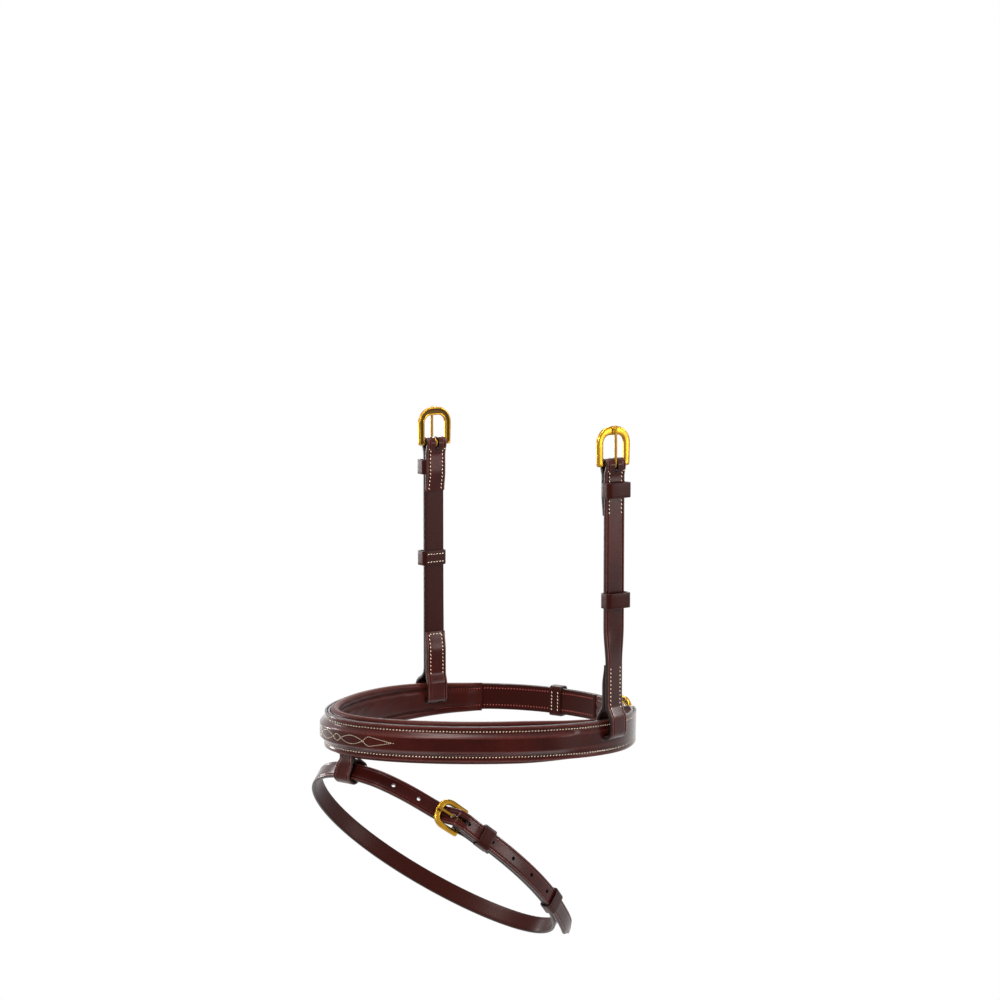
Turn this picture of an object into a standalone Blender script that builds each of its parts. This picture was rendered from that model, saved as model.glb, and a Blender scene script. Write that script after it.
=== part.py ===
"""Flash noseband of an English bridle, buckled up as it hangs on a horse's head.

Front is -Y, the horse's near (left) side is +X, up is +Z. The origin is the centre of the
opening that the nose goes through, at the middle of the band's height. Lengths are metres.
"""
import math

import bmesh
import bpy
from mathutils import Matrix, Vector

MM = 0.001

# Leather and clearances
FACE_LEATHER = 1.4 * MM
BACKING_LEATHER = 2.0 * MM
LINING_LEATHER = 0.9 * MM
CHEEK_LEATHER = 2.5 * MM
FLASH_LEATHER = 2.4 * MM
KEEPER_LEATHER = 1.1 * MM
LOOP_LEATHER = 1.5 * MM
EDGE_ROUND = 0.3 * MM
LAYER_GAP = 0.3 * MM
KEEPER_EASE = 0.5 * MM

# Noseband, measured on the face between the two leathers
BAND_HALF_WIDTH = 90.0 * MM
BAND_HALF_LENGTH = 108.0 * MM
BAND_BACK_FULLNESS = 0.24
BAND_TILT = math.radians(1.5)
BAND_HEIGHT = 23.0 * MM
CORNER_HEIGHT = 20.4 * MM
JAW_HEIGHT = 18.0 * MM
BILLET_WIDTH = 16.0 * MM
NEAR_SLOT = 197.0 * MM
OFF_SLOT = 176.0 * MM
RAISE_END = 173.0 * MM
RAISE_HEIGHT = 2.6 * MM
RAISE_TOP_WIDTH = 9.0 * MM
RAISE_SHOULDER = 2.7 * MM
RAISE_RUNOUT = 26.0 * MM
STITCH_INSET = 3.15 * MM

# Padding behind the noseband
PADDING_HEIGHT = 28.0 * MM
PADDING_DEPTH = 5.6 * MM
PADDING_CROWN = 0.6 * MM
PADDING_DIP = 1.1 * MM
PADDING_NEAR_END = 185.0 * MM
PADDING_OFF_END = 216.0 * MM
PADDING_RUNOUT = 14.0 * MM
PADDING_NEAR_TAPER = 60.0 * MM
PADDING_OFF_TAPER = 150.0 * MM
PADDING_END_LIP = 0.8 * MM
PADDING_END_SHARE = 0.3
PADDING_FLAP = 5.0 * MM

# Rear closure under the jaw
REAR_BAR = 298.0 * MM
FACE_NEAR_END = 262.0 * MM
OFF_NARROW_START = 116.0 * MM
OFF_NARROW_END = 230.0 * MM
REAR_TAIL = 87.0 * MM
REAR_CHAPE = 20.0 * MM
REAR_RUNNER_FROM_BAR = 57.0 * MM
REAR_RUNNER_LENGTH = 9.0 * MM

# Cheek straps
CHEEK_WIDTH = 16.0 * MM
CHEEK_BAR_HEIGHT = 180.0 * MM
CHEEK_LOOP_CLEAR = 1.3 * MM
NEAR_LOOP_BULGE = 2.7 * MM
NEAR_CHEEK_LEAN = 0.464
OFF_CHEEK_LEAN = 0.8
NEAR_LOOP_JOIN = 20.5 * MM
OFF_LOOP_JOIN = 18.5 * MM
CHEEK_LOOP_TAIL = 48.0 * MM
CHEEK_TWIST_END = 74.0 * MM
CHEEK_CHAPE = 33.0 * MM
CHEEK_KEEPER_DROP = 16.5 * MM
CHEEK_KEEPER_LENGTH = 10.0 * MM
BILLET_ROOM = 4.4 * MM
NEAR_RUNNER_HEIGHT = 91.0 * MM
OFF_RUNNER_HEIGHT = 100.0 * MM
SLIT_HEIGHT = 4.0 * MM
SLIT_EASE = 0.5 * MM

# Flash strap, a ring that hangs back and down from the loop under the noseband
FLASH_WIDTH = 12.2 * MM
FLASH_FRONT_X = -24.0 * MM
FLASH_FRONT_Y = -103.5 * MM
FLASH_FRONT_Z = -27.0 * MM
FLASH_SLOPE = math.radians(35.5)
FLASH_YAW = math.radians(24.8)
FLASH_ROLL = math.radians(27.9)
FLASH_HALF_WIDTH = 56.5 * MM
FLASH_HALF_LENGTH = 93.6 * MM
FLASH_BACK_FULLNESS = -0.10
FLASH_BAR = 110.5 * MM
FLASH_TAIL = 125.0 * MM
FLASH_CHAPE = 27.0 * MM
FLASH_KEEPER_FROM_BAR = 18.5 * MM
FLASH_RUNNER_FROM_BAR = 90.5 * MM
FLASH_KEEPER_LENGTH = 9.0 * MM
FLASH_HOLE_PITCH = 18.5 * MM
FLASH_HOLES_FRONT = 2
FLASH_HOLES_TAIL = 5
HOLE_WIDTH = 3.0 * MM

# Loop that carries the flash strap, placed on the noseband and along the flash strap
LOOP_ON_BAND = 4.7 * MM
FLASH_LOOP_AT = 28.65 * MM
FLASH_LOOP_WIDTH = 13.0 * MM
FLASH_LOOP_ROOM_ACROSS = 3.3 * MM
FLASH_LOOP_ROOM_ALONG = 7.4 * MM
FLASH_LOOP_TOP = -1.0 * MM

# Buckles: the frame lies in its own x (bar to front) and y (width), z is outward
BUCKLE_METAL = 2.6 * MM
BUCKLE_ROUND = 0.8 * MM
BUCKLE_EASE = 0.5 * MM
BUCKLE_OPENING_SHARE = 1.12
BUCKLE_FRONT_SHARE = 0.31
BUCKLE_LIMB_SHARE = 0.28
BUCKLE_HEEL_SHARE = 0.20
TONGUE_WIRE = 2.0 * MM
TONGUE_OVERHANG = 0.4 * MM
SLOT_SIDE_EASE = 0.4 * MM

# Billets at a buckle: distances from the bar at which they bend, and their bends
BILLET_DIP_START = 33.0 * MM
BILLET_DIP_END = 24.0 * MM
BILLET_RISE_END = 4.2 * MM
BILLET_TOP_END = -2.0 * MM
BILLET_SETTLED = -10.0 * MM
BILLET_BEND = 3.0 * MM
BILLET_SWEEP = 20.0 * MM

MAX_STEP = 12.0 * MM
MAX_TURN = math.radians(10)
UP = Vector((0, 0, 1))


def clear_scene():
    for item in list(bpy.data.objects):
        bpy.data.objects.remove(item)


def collection(name):
    group = bpy.data.collections.get(name) or bpy.data.collections.new(name)
    if name not in bpy.context.scene.collection.children:
        bpy.context.scene.collection.children.link(group)
    return group


def material(name, colour, roughness, metallic=0.0):
    made = bpy.data.materials.new(name)
    made.use_nodes = True
    shader = made.node_tree.nodes["Principled BSDF"]
    shader.inputs["Base Color"].default_value = (*colour, 1)
    shader.inputs["Roughness"].default_value = roughness
    shader.inputs["Metallic"].default_value = metallic
    return made


def leather(name):
    return material(name, (0.055, 0.010, 0.007), 0.42)


def lining(name):
    return material(name, (0.075, 0.014, 0.010), 0.60)


def foam(name):
    return material(name, (0.60, 0.55, 0.45), 0.90)


def brass(name):
    return material(name, (0.67, 0.36, 0.03), 0.25, 1.0)


def ease(share):
    """Smooth 0 to 1."""
    share = min(max(share, 0.0), 1.0)
    return share * share * (3 - 2 * share)


def read_table(table, at):
    """Smooth reading between (place, value) pairs."""
    if at <= table[0][0]:
        return table[0][1]
    for (start, low), (end, high) in zip(table, table[1:]):
        if at <= end:
            return low + (high - low) * ease((at - start) / (end - start))
    return table[-1][1]


def fillet(corners, radii, turn=math.radians(20)):
    """A 2D line through the corners, each inner corner rounded to its radius."""
    points = [Vector(corners[0])]
    for before, corner, after, radius in zip(corners, corners[1:], corners[2:], radii):
        corner = Vector(corner)
        back = (Vector(before) - corner).normalized()
        ahead = (Vector(after) - corner).normalized()
        angle = math.pi - back.angle(ahead)
        if radius <= 0 or angle < 0.01:
            points.append(corner)
            continue
        reach = radius * math.tan(angle / 2)
        start = corner + back * reach
        centre = corner + (back + ahead).normalized() * (radius / math.cos(angle / 2))
        side = 1 if back.x * ahead.y - back.y * ahead.x < 0 else -1
        steps = max(2, math.ceil(angle / turn))
        for step in range(steps + 1):
            arm = start - centre
            arm.rotate(Matrix.Rotation(side * angle * step / steps, 2))
            points.append(centre + arm)
    points.append(Vector(corners[-1]))
    return points


def closed_fillet(corners, radii, turn=math.radians(30)):
    """The same for a closed outline: its seam lies half way along the last side."""
    seam = (Vector(corners[-1]) + Vector(corners[0])) / 2
    return fillet([seam, *corners, seam], radii, turn)[:-1]


class Route:
    """A closed oval plan curve, read by the length along it from its front point."""

    def __init__(self, half_width, half_length, fullness, centre, side, back):
        count = 1440
        self.across = side.cross(back).normalized()
        turns = [2 * math.pi * step / count for step in range(count)]
        self.points = [
            centre
            + side * (half_width * math.sin(turn) * (1 - fullness * math.cos(turn)))
            - back * (half_length * math.cos(turn))
            for turn in turns
        ]
        self.steps = [
            (self.points[(i + 1) % count] - self.points[i]).length for i in range(count)
        ]
        self.starts = [0.0]
        for step in self.steps:
            self.starts.append(self.starts[-1] + step)
        self.length = self.starts[-1]
        self.breaks = self.station_places()

    def index(self, at):
        at = at % self.length
        low, high = 0, len(self.points)
        while high - low > 1:
            middle = (low + high) // 2
            if self.starts[middle] <= at:
                low = middle
            else:
                high = middle
        return low, (at - self.starts[low]) / self.steps[low]

    def tangent(self, at):
        place, share = self.index(at)
        count = len(self.points)
        first = self.points[(place + 1) % count] - self.points[place - 1]
        second = self.points[(place + 2) % count] - self.points[place]
        return first.normalized().lerp(second.normalized(), share).normalized()

    def outward(self, at):
        return self.tangent(at).cross(self.across).normalized()

    def place(self, at, out=0.0, up=0.0):
        index, share = self.index(at)
        start = self.points[index]
        end = self.points[(index + 1) % len(self.points)]
        return start.lerp(end, share) + self.outward(at) * out + self.across * up

    def station_places(self):
        """Places along the curve, closer together where it bends more."""
        places = [0.0]
        heading = self.tangent(0)
        at = 0.0
        while at < self.length:
            at += MM
            now = self.tangent(at)
            if now.angle(heading) > MAX_TURN or at - places[-1] > MAX_STEP:
                places.append(at)
                heading = now
        if self.length - places[-1] < 3 * MM:
            places.pop()
        return places

    def between(self, start, end):
        """The curve's own stations between two places, with both places themselves."""
        found = [start]
        lap = math.floor(start / self.length)
        while lap * self.length < end:
            for place in self.breaks:
                at = place + lap * self.length
                if found[0] + 2 * MM < at < end - 2 * MM:
                    found.append(at)
            lap += 1
        found.append(end)
        return found

    def through(self, *keys):
        """Stations from the first key place to the last that hold every key place."""
        found = [keys[0]]
        for start, end in zip(keys, keys[1:]):
            found += self.between(start, end)[1:]
        return found

    def frame(self, at, out=0.0, up=0.0):
        """Axes for a buckle or keeper: x back along the curve, y across, z outward."""
        ahead = -self.tangent(at)
        outward = self.outward(at)
        axes = Matrix((ahead, outward.cross(ahead), outward)).transposed()
        return Matrix.Translation(self.place(at, out, up)) @ axes.to_4x4()


def link(shape, name, finish=None, matrix=None, parent=None, cutter=False):
    made = bpy.data.objects.new(name, shape)
    collection("cutters" if cutter else "flash_noseband").objects.link(made)
    if cutter:
        made.hide_render = True
        made.display_type = "WIRE"
    if finish:
        shape.materials.append(finish)
    if parent:
        made.parent = parent
        made.matrix_parent_inverse = Matrix()
    if matrix is not None:
        made.matrix_local = matrix
    return made


def finish_mesh(bm, name):
    mesh = bpy.data.meshes.new(name)
    bm.to_mesh(mesh)
    bm.free()
    mesh.shade_smooth()
    mesh.set_sharp_from_angle(angle=math.radians(35))
    return mesh


def sheet(name, rows, thickness, finish, matrix=None, parent=None):
    """A leather sheet through rows of points, given its thickness about them."""
    along = len(rows[0]) - 1
    across = len(rows) - 1
    bm = bmesh.new()
    bmesh.ops.create_grid(bm, x_segments=along, y_segments=across, size=1)
    for vertex in bm.verts:
        column = round((vertex.co.x + 1) / 2 * along)
        row = round((vertex.co.y + 1) / 2 * across)
        vertex.co = rows[row][column]
    made = link(finish_mesh(bm, name), name, finish, matrix, parent)
    skin = made.modifiers.new("thickness", "SOLIDIFY")
    skin.thickness = thickness
    skin.offset = 0
    skin.use_even_offset = True
    return made


def round_edges(made, width=EDGE_ROUND, segments=1, clamp=True):
    bevel = made.modifiers.new("edges", "BEVEL")
    bevel.width = width
    bevel.segments = segments
    bevel.limit_method = "ANGLE"
    bevel.angle_limit = math.radians(40)
    bevel.use_clamp_overlap = clamp
    bevel.loop_slide = False


def strap(name, stations, thickness, finish, matrix=None, parent=None):
    """A strap from (centre, direction across, half width) stations."""
    rows = [
        [centre + across * (side * half) for centre, across, half in stations]
        for side in (-1, 1)
    ]
    made = sheet(name, rows, thickness, finish, matrix, parent)
    round_edges(made)
    return made


def loft(name, rings, finish):
    """A solid through closed rings of points, capped at both ends."""
    bm = bmesh.new()
    loops = []
    for ring in rings:
        corners = [bm.verts.new(point) for point in ring]
        pairs = zip(corners, corners[1:] + corners[:1])
        loops.append([bm.edges.new(pair) for pair in pairs])
    for first, second in zip(loops, loops[1:]):
        bmesh.ops.bridge_loops(bm, edges=first + second)
    for end in (loops[0], loops[-1]):
        bmesh.ops.contextual_create(bm, geom=end)
    bmesh.ops.recalc_face_normals(bm, faces=bm.faces)
    return link(finish_mesh(bm, name), name, finish)


def plate(name, outlines, thickness, finish, matrix, parent):
    """A flat outline, with holes, as thick metal or leather."""
    curve = bpy.data.curves.new(name, "CURVE")
    curve.dimensions = "2D"
    curve.fill_mode = "BOTH"
    curve.extrude = thickness / 2
    for outline in outlines:
        spline = curve.splines.new("POLY")
        spline.points.add(len(outline) - 1)
        for point, corner in zip(spline.points, outline):
            point.co = (corner.x, corner.y, 0, 1)
        spline.use_cyclic_u = True
    return mesh_from_curve(curve, name, finish, matrix, parent)


def mesh_from_curve(curve, name, finish, matrix, parent):
    source = bpy.data.objects.new(name + "_curve", curve)
    bpy.context.scene.collection.objects.link(source)
    graph = bpy.context.evaluated_depsgraph_get()
    mesh = bpy.data.meshes.new_from_object(source.evaluated_get(graph))
    bpy.data.objects.remove(source)
    bm = bmesh.new()
    bm.from_mesh(mesh)
    bmesh.ops.remove_doubles(bm, verts=bm.verts, dist=0.00001)
    bmesh.ops.recalc_face_normals(bm, faces=bm.faces)
    bpy.data.meshes.remove(mesh)
    return link(finish_mesh(bm, name), name, finish, matrix, parent)


def capsule_cutter(name, width, length, depth, matrix, parent=None):
    """A round-ended slot cutter: its length lies along x, it cuts through along z."""
    bm = bmesh.new()
    bmesh.ops.create_cone(
        bm, cap_ends=True, segments=16, radius1=width / 2, radius2=width / 2, depth=depth
    )
    bmesh.ops.rotate(bm, verts=bm.verts, matrix=Matrix.Rotation(math.pi / 16, 3, "Z"))
    stretch = (length - width) / 2
    for vertex in bm.verts:
        vertex.co.x += stretch if vertex.co.x > 0 else -stretch
    return link(finish_mesh(bm, name), name, None, matrix, parent, cutter=True)


def box_cutter(name, size, matrix, parent=None):
    bm = bmesh.new()
    bmesh.ops.create_cube(bm, size=1)
    bmesh.ops.scale(bm, verts=bm.verts, vec=size)
    return link(finish_mesh(bm, name), name, None, matrix, parent, cutter=True)


def cut(made, *cutters):
    for cutter in cutters:
        boolean = made.modifiers.new(cutter.name, "BOOLEAN")
        boolean.object = cutter


# Noseband shape
BAND = Route(
    BAND_HALF_WIDTH,
    BAND_HALF_LENGTH,
    BAND_BACK_FULLNESS,
    Vector(),
    Vector((1, 0, 0)),
    Vector((0, math.cos(BAND_TILT), -math.sin(BAND_TILT))),
)
FACE_LEVEL = FACE_LEATHER / 2
BACKING_LEVEL = -LAYER_GAP - BACKING_LEATHER / 2
PADDING_LEVEL = -LAYER_GAP * 2 - BACKING_LEATHER
OFF_BAR = REAR_BAR - BAND.length
REAR_AXIS = -LAYER_GAP / 2
TONGUE_RADIUS = TONGUE_WIRE / 2
BAR_REACH = BUCKLE_METAL / 2 * 1.08
STITCH_ROW = BAND_HEIGHT / 2 - STITCH_INSET
RAISE_REACH = RAISE_END - RAISE_RUNOUT / 2


def face_half(at):
    table = (
        (OFF_BAR, BILLET_WIDTH / 2),
        (OFF_BAR + REAR_CHAPE, JAW_HEIGHT / 2),
        (-OFF_NARROW_END, JAW_HEIGHT / 2),
        (-OFF_NARROW_START, BAND_HEIGHT / 2),
        (NEAR_SLOT + CHEEK_WIDTH / 2, BAND_HEIGHT / 2),
        (FACE_NEAR_END, CORNER_HEIGHT / 2),
    )
    return read_table(table, at)


def backing_half(at):
    tip = REAR_BAR + REAR_TAIL
    if at <= FACE_NEAR_END:
        return face_half(at)
    neck = FACE_NEAR_END + PADDING_RUNOUT
    table = (
        (FACE_NEAR_END, CORNER_HEIGHT / 2),
        (neck, BILLET_WIDTH / 2),
        (tip - BILLET_WIDTH * 0.6, BILLET_WIDTH / 2),
        (tip, BILLET_WIDTH / 5),
    )
    return read_table(table, at)


def raise_share(at):
    return ease((RAISE_END - abs(at)) / RAISE_RUNOUT)


def dome(at, up):
    """Height that the face stands up over the raise."""
    shoulder = (abs(up) - RAISE_TOP_WIDTH / 2) / RAISE_SHOULDER
    return RAISE_HEIGHT * raise_share(at) * (1 - ease(shoulder))


def padding_share(at):
    """How full the padding is: 1 along its length, thin at its two ends."""
    to_end = min(PADDING_NEAR_END - at, at + PADDING_OFF_END)
    return PADDING_END_SHARE + (1 - PADDING_END_SHARE) * ease(to_end / PADDING_RUNOUT)


def padding_half(at):
    """Full height in front, brought in gently to the leather's own height at both ends."""
    near = ease((PADDING_NEAR_END - at) / PADDING_NEAR_TAPER)
    off = ease((at + PADDING_OFF_END) / PADDING_OFF_TAPER)
    narrow = face_half(at) + PADDING_END_LIP
    return narrow + (PADDING_HEIGHT / 2 - narrow) * min(near, off)


def padding_inner(at, up, inset):
    """Inner face of the padding: a crown between two stitched dips, and two rolls."""
    row = STITCH_ROW * padding_half(at) / (PADDING_HEIGHT / 2)
    dip = PADDING_DIP * (1 - ease(abs(abs(up) - row) / (2.6 * MM)))
    crown = PADDING_CROWN * max(0.0, 1 - (up / row) ** 2)
    return PADDING_LEVEL - (PADDING_DEPTH - dip + crown) * padding_share(at) + inset


def padding_section(at, inset, flap):
    """Points (out, up) of the padding's skin from one flap's edge round to the other's."""
    half = padding_half(at)
    depth = PADDING_DEPTH * padding_share(at)
    roll = depth / 2 - inset
    centre_up = half - depth / 2
    centre_out = PADDING_LEVEL - depth / 2
    row = STITCH_ROW * half / (PADDING_HEIGHT / 2)
    top = [(PADDING_LEVEL - inset, centre_up - flap)] if flap else []
    for step in range(4):
        turn = math.pi * step / 3
        top.append((centre_out + roll * math.cos(turn), centre_up + roll * math.sin(turn)))
    top[-1] = (padding_inner(at, centre_up, inset), centre_up)
    for up in (row, row * 0.62):
        top.append((padding_inner(at, up, inset), up))
    middle = [(padding_inner(at, 0, inset), 0)]
    return top + middle + [(out, -up) for out, up in reversed(top)]


def make_face():
    """Outer leather: domed over the raise, folded round the rear buckle's bar."""
    fold = chape(FACE_LEATHER, REAR_CHAPE)
    centres = [(OFF_BAR - x, REAR_AXIS + z) for x, z in fold]
    route_places = BAND.through(
        centres[-1][0], -RAISE_END, -RAISE_REACH, RAISE_REACH, RAISE_END, FACE_NEAR_END
    )[1:]
    centres += [(at, FACE_LEVEL) for at in route_places]
    shares = (-1, -0.72, -0.58, -0.38, 0, 0.38, 0.58, 0.72, 1)
    rows = []
    for share in shares:
        row = []
        for at, out in centres:
            up = share * face_half(at)
            row.append(BAND.place(at, out + dome(at, up), up))
        rows.append(row)
    made = sheet("noseband_face", rows, FACE_LEATHER, leather("face_leather"))
    round_edges(made)
    rear = BAND.frame(OFF_BAR, REAR_AXIS)
    cut(made, crew_slot("rear_crew_slot", FACE_LEATHER, rear))
    cut(made, *cheek_slits("face"))
    return made


def make_backing():
    """Main strap: from the rear chape round the nose to the billet's tip."""
    start = OFF_BAR + REAR_CHAPE + LAYER_GAP
    tail = billet_path(
        BACKING_LEATHER, FACE_LEATHER, BACKING_LEVEL - REAR_AXIS, REAR_TAIL
    )
    lead = REAR_BAR - tail[0].x
    centres = [(at, BACKING_LEVEL) for at in BAND.between(start, lead)[:-1]]
    centres += follow_route(BAND, tail, REAR_BAR, REAR_AXIS)
    stations = [
        (BAND.place(at, out), BAND.across, backing_half(at)) for at, out in centres
    ]
    made = strap("noseband_backing", stations, BACKING_LEATHER, leather("backing_leather"))
    hole = billet_hole("rear_billet_hole", BAND, tail, REAR_BAR, REAR_AXIS)
    cut(made, hole, *cheek_slits("backing"))
    return made


def make_raise():
    """Filler that raises the face between its two rows of stitches."""
    rings = []
    for at in BAND.between(-RAISE_REACH, RAISE_REACH):
        half = RAISE_TOP_WIDTH / 2 + RAISE_SHOULDER * 0.5
        ring = [BAND.place(at, 0, -half), BAND.place(at, 0, half)]
        for share in (1, 0.6, 0, -0.6, -1):
            up = share * half
            top = dome(at, abs(up) + 0.5 * MM) - LAYER_GAP
            ring.append(BAND.place(at, top, up))
        rings.append(ring)
    return loft("raise_core", rings, foam("raise_filler"))


def make_padding():
    """Soft lining rolled round a foam cushion, with the cheek slit cut through both."""
    inset = LINING_LEATHER / 2
    full_off = PADDING_RUNOUT - PADDING_OFF_END
    full_near = PADDING_NEAR_END - PADDING_RUNOUT
    full = BAND.between(full_off, full_near)
    places = BAND.through(-PADDING_OFF_END, full_off, full_near, PADDING_NEAR_END)
    sections = [padding_section(at, inset, PADDING_FLAP) for at in places]
    rows = [
        [BAND.place(at, *section[row]) for at, section in zip(places, sections)]
        for row in range(len(sections[0]))
    ]
    skin = sheet("padding_lining", rows, LINING_LEATHER, lining("lining_leather"))
    foam_inset = LINING_LEATHER + LAYER_GAP
    rings = [
        [BAND.place(at, *point) for point in padding_section(at, foam_inset, 0)]
        for at in full
    ]
    cushion = loft("padding_foam", rings, foam("padding_foam"))
    slit = cheek_slit("padding", "off")
    pocket = loop_pocket()
    for made in (skin, cushion):
        cut(made, slit, pocket)
    return skin, cushion


def cheek_slit(layer, side):
    at = NEAR_SLOT if side == "near" else -OFF_SLOT
    size = (CHEEK_WIDTH + 2 * SLIT_EASE, SLIT_HEIGHT, 4 * PADDING_DEPTH)
    return box_cutter(f"{layer}_{side}_slit", size, BAND.frame(at))


def cheek_slits(layer):
    return [cheek_slit(layer, side) for side in ("near", "off")]


# Shapes shared by the three buckled straps, in a buckle's own x and z
def chape(thickness, tail, bar=BAR_REACH):
    """Centre line of a strap's end folded round a bar, from its tail's end to the strap."""
    level = (thickness + LAYER_GAP) / 2
    radius = bar + LAYER_GAP + thickness / 2
    settle = 7 * MM
    upper = []
    for step in range(6):
        turn = math.radians(21 * step)
        upper.append(Vector((radius * math.cos(turn), radius * math.sin(turn))))
    start = upper[-1]
    for share in (0.35, 0.7, 1.0):
        drop = start.y + (level - start.y) * ease(share)
        upper.append(Vector((start.x - settle * share, drop)))
    lower = [Vector((point.x, -point.y)) for point in reversed(upper[1:])]
    end = Vector((-tail, -level))
    return [end, *lower, *upper]


def billet_path(thickness, chape_leather, start_level, tail):
    """Centre line of a billet: under the front of the frame, over the bar, back on top."""
    under = -(BUCKLE_METAL / 2 + LAYER_GAP + thickness / 2)
    over = BAR_REACH + max(chape_leather, TONGUE_WIRE) + 2 * LAYER_GAP + thickness / 2
    level = chape_leather + 1.5 * LAYER_GAP + thickness / 2
    rise_start = BILLET_RISE_END + over - under
    corners = (
        (BILLET_DIP_START, start_level),
        (BILLET_DIP_END, under),
        (rise_start, under),
        (BILLET_RISE_END, over),
        (BILLET_TOP_END, over),
        (BILLET_SETTLED, level),
        (-tail, level),
    )
    radii = (BILLET_SWEEP, BILLET_BEND, BILLET_BEND, BILLET_BEND, BILLET_SWEEP)
    return fillet(corners, radii, math.radians(15))


def follow_route(route, path, bar_at, axis):
    """(along, out) stations of a buckle-space path laid on a route, long runs divided."""
    found = []
    for first, second in zip(path, path[1:]):
        places = route.between(bar_at - first.x, bar_at - second.x)
        for at in places[:-1]:
            share = (bar_at - first.x - at) / (second.x - first.x)
            found.append((at, axis + first.y + (second.y - first.y) * share))
    found.append((bar_at - path[-1].x, axis + path[-1].y))
    return found


def crew_slot(name, thickness, matrix, parent=None):
    """Slot cut through a folded chape, where the tongue swings."""
    reach = BAR_REACH + LAYER_GAP + TONGUE_WIRE + LAYER_GAP
    front = BAR_REACH + LAYER_GAP + thickness + TONGUE_WIRE
    width = TONGUE_WIRE + 2 * SLOT_SIDE_EASE
    length = 1.25 * reach + front
    place = matrix @ Matrix.Translation((front - length / 2, 0, 0))
    return capsule_cutter(name, width, length, 6 * reach, place, parent)


def crossing(path):
    """Distance in front of the bar at which the rising billet meets the tongue."""
    height = BAR_REACH + LAYER_GAP + TONGUE_RADIUS
    for first, second in zip(path, path[1:]):
        if first.y <= height <= second.y:
            share = (height - first.y) / (second.y - first.y)
            return first.x + (second.x - first.x) * share


def billet_hole(name, route, path, bar_at, axis):
    """Oblong hole in the rising billet, cut along the tongue that comes through it."""
    height = BAR_REACH + LAYER_GAP + TONGUE_RADIUS
    matrix = route.frame(bar_at - crossing(path), axis + height)
    width = TONGUE_WIRE + 2 * SLOT_SIDE_EASE
    along = Matrix.Rotation(math.pi / 2, 4, "Y")
    return capsule_cutter(name, width, 1.4 * width, 9 * MM, matrix @ along)


def buckle_frame(name, strap_width, matrix, parent):
    """Horseshoe frame: broad rounded front, limbs that narrow to the straight bar."""
    inner = strap_width / 2 + BUCKLE_EASE
    outer = inner + BUCKLE_LIMB_SHARE * strap_width
    heel = inner + BUCKLE_HEEL_SHARE * strap_width
    back = BUCKLE_METAL / 2
    opening = back + BUCKLE_OPENING_SHARE * strap_width
    front = buckle_length(strap_width)
    shoulder = 0.62 * inner
    outside = closed_fillet(
        [(-back, -heel), (front, -outer), (front, outer), (-back, heel)],
        [back, 1.35 * inner, 1.35 * inner, back],
        math.radians(18),
    )
    inside = closed_fillet(
        [(back, -inner), (opening, -inner), (opening, inner), (back, inner)],
        [back / 2, shoulder, shoulder, back / 2],
        math.radians(22),
    )
    made = plate(name, [outside, inside], BUCKLE_METAL, brass(name), matrix, parent)
    round_edges(made, BUCKLE_ROUND, 2, clamp=False)
    return made


def buckle_length(strap_width):
    """Reach from the bar's axis to the outside of the frame's front."""
    return strap_width * (BUCKLE_OPENING_SHARE + BUCKLE_FRONT_SHARE) + BUCKLE_METAL / 2


def buckle_tongue(name, strap_width, matrix, parent):
    """Wire tongue: an eye bent round the bar and a straight shank laid over the front."""
    eye = BAR_REACH + LAYER_GAP + TONGUE_RADIUS
    rest = BUCKLE_METAL / 2 + LAYER_GAP + TONGUE_RADIUS
    points = []
    wrap = 11
    for step in range(wrap + 1):
        turn = math.radians(364 - 274 * step / wrap)
        points.append((eye * math.cos(turn), eye * math.sin(turn)))
    tip = buckle_length(strap_width) + TONGUE_OVERHANG
    points += [(tip * 0.5, rest), (tip - TONGUE_RADIUS, rest), (tip, rest - 0.2 * MM)]
    curve = bpy.data.curves.new(name, "CURVE")
    curve.dimensions = "3D"
    curve.bevel_depth = TONGUE_RADIUS
    curve.bevel_resolution = 2
    curve.use_fill_caps = True
    spline = curve.splines.new("POLY")
    spline.points.add(len(points) - 1)
    for point, (x, z) in zip(spline.points, points):
        point.co = (x, 0, z, 1)
    spline.points[-1].radius = 0.6
    return mesh_from_curve(curve, name, brass(name), matrix, parent)


def keeper(name, half_width, low, high, length, matrix, parent):
    """A leather loop round straps that fill from low to high over the given width."""
    wall = KEEPER_LEATHER
    half = half_width + KEEPER_EASE
    inside = [(low, -half), (high, -half), (high, half), (low, half)]
    outside = [
        (low - wall, -half - wall),
        (high + wall, -half - wall),
        (high + wall, half + wall),
        (low - wall, half + wall),
    ]
    outlines = [
        closed_fillet(outside, [1.6 * MM] * 4),
        closed_fillet(inside, [0.5 * MM] * 4),
    ]
    stand = Matrix.Rotation(-math.pi / 2, 4, "Y")
    made = plate(name, outlines, length, leather(name), matrix @ stand, parent)
    round_edges(made, 0.25 * MM)
    return made


# Cheek straps
def cheek_levels(side):
    """Outer and inner leg of the loop through the band, and the strap's line above."""
    outer = FACE_LEATHER + CHEEK_LOOP_CLEAR + CHEEK_LEATHER / 2
    back = PADDING_LEVEL + LAYER_GAP
    if side == "near":
        outer += NEAR_LOOP_BULGE
    else:
        back = PADDING_LEVEL - PADDING_DEPTH - PADDING_CROWN
    inner = back - CHEEK_LOOP_CLEAR - CHEEK_LEATHER / 2
    lean = OFF_CHEEK_LEAN if side == "off" else NEAR_CHEEK_LEAN
    return outer, inner, outer + (inner - outer) * lean


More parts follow.
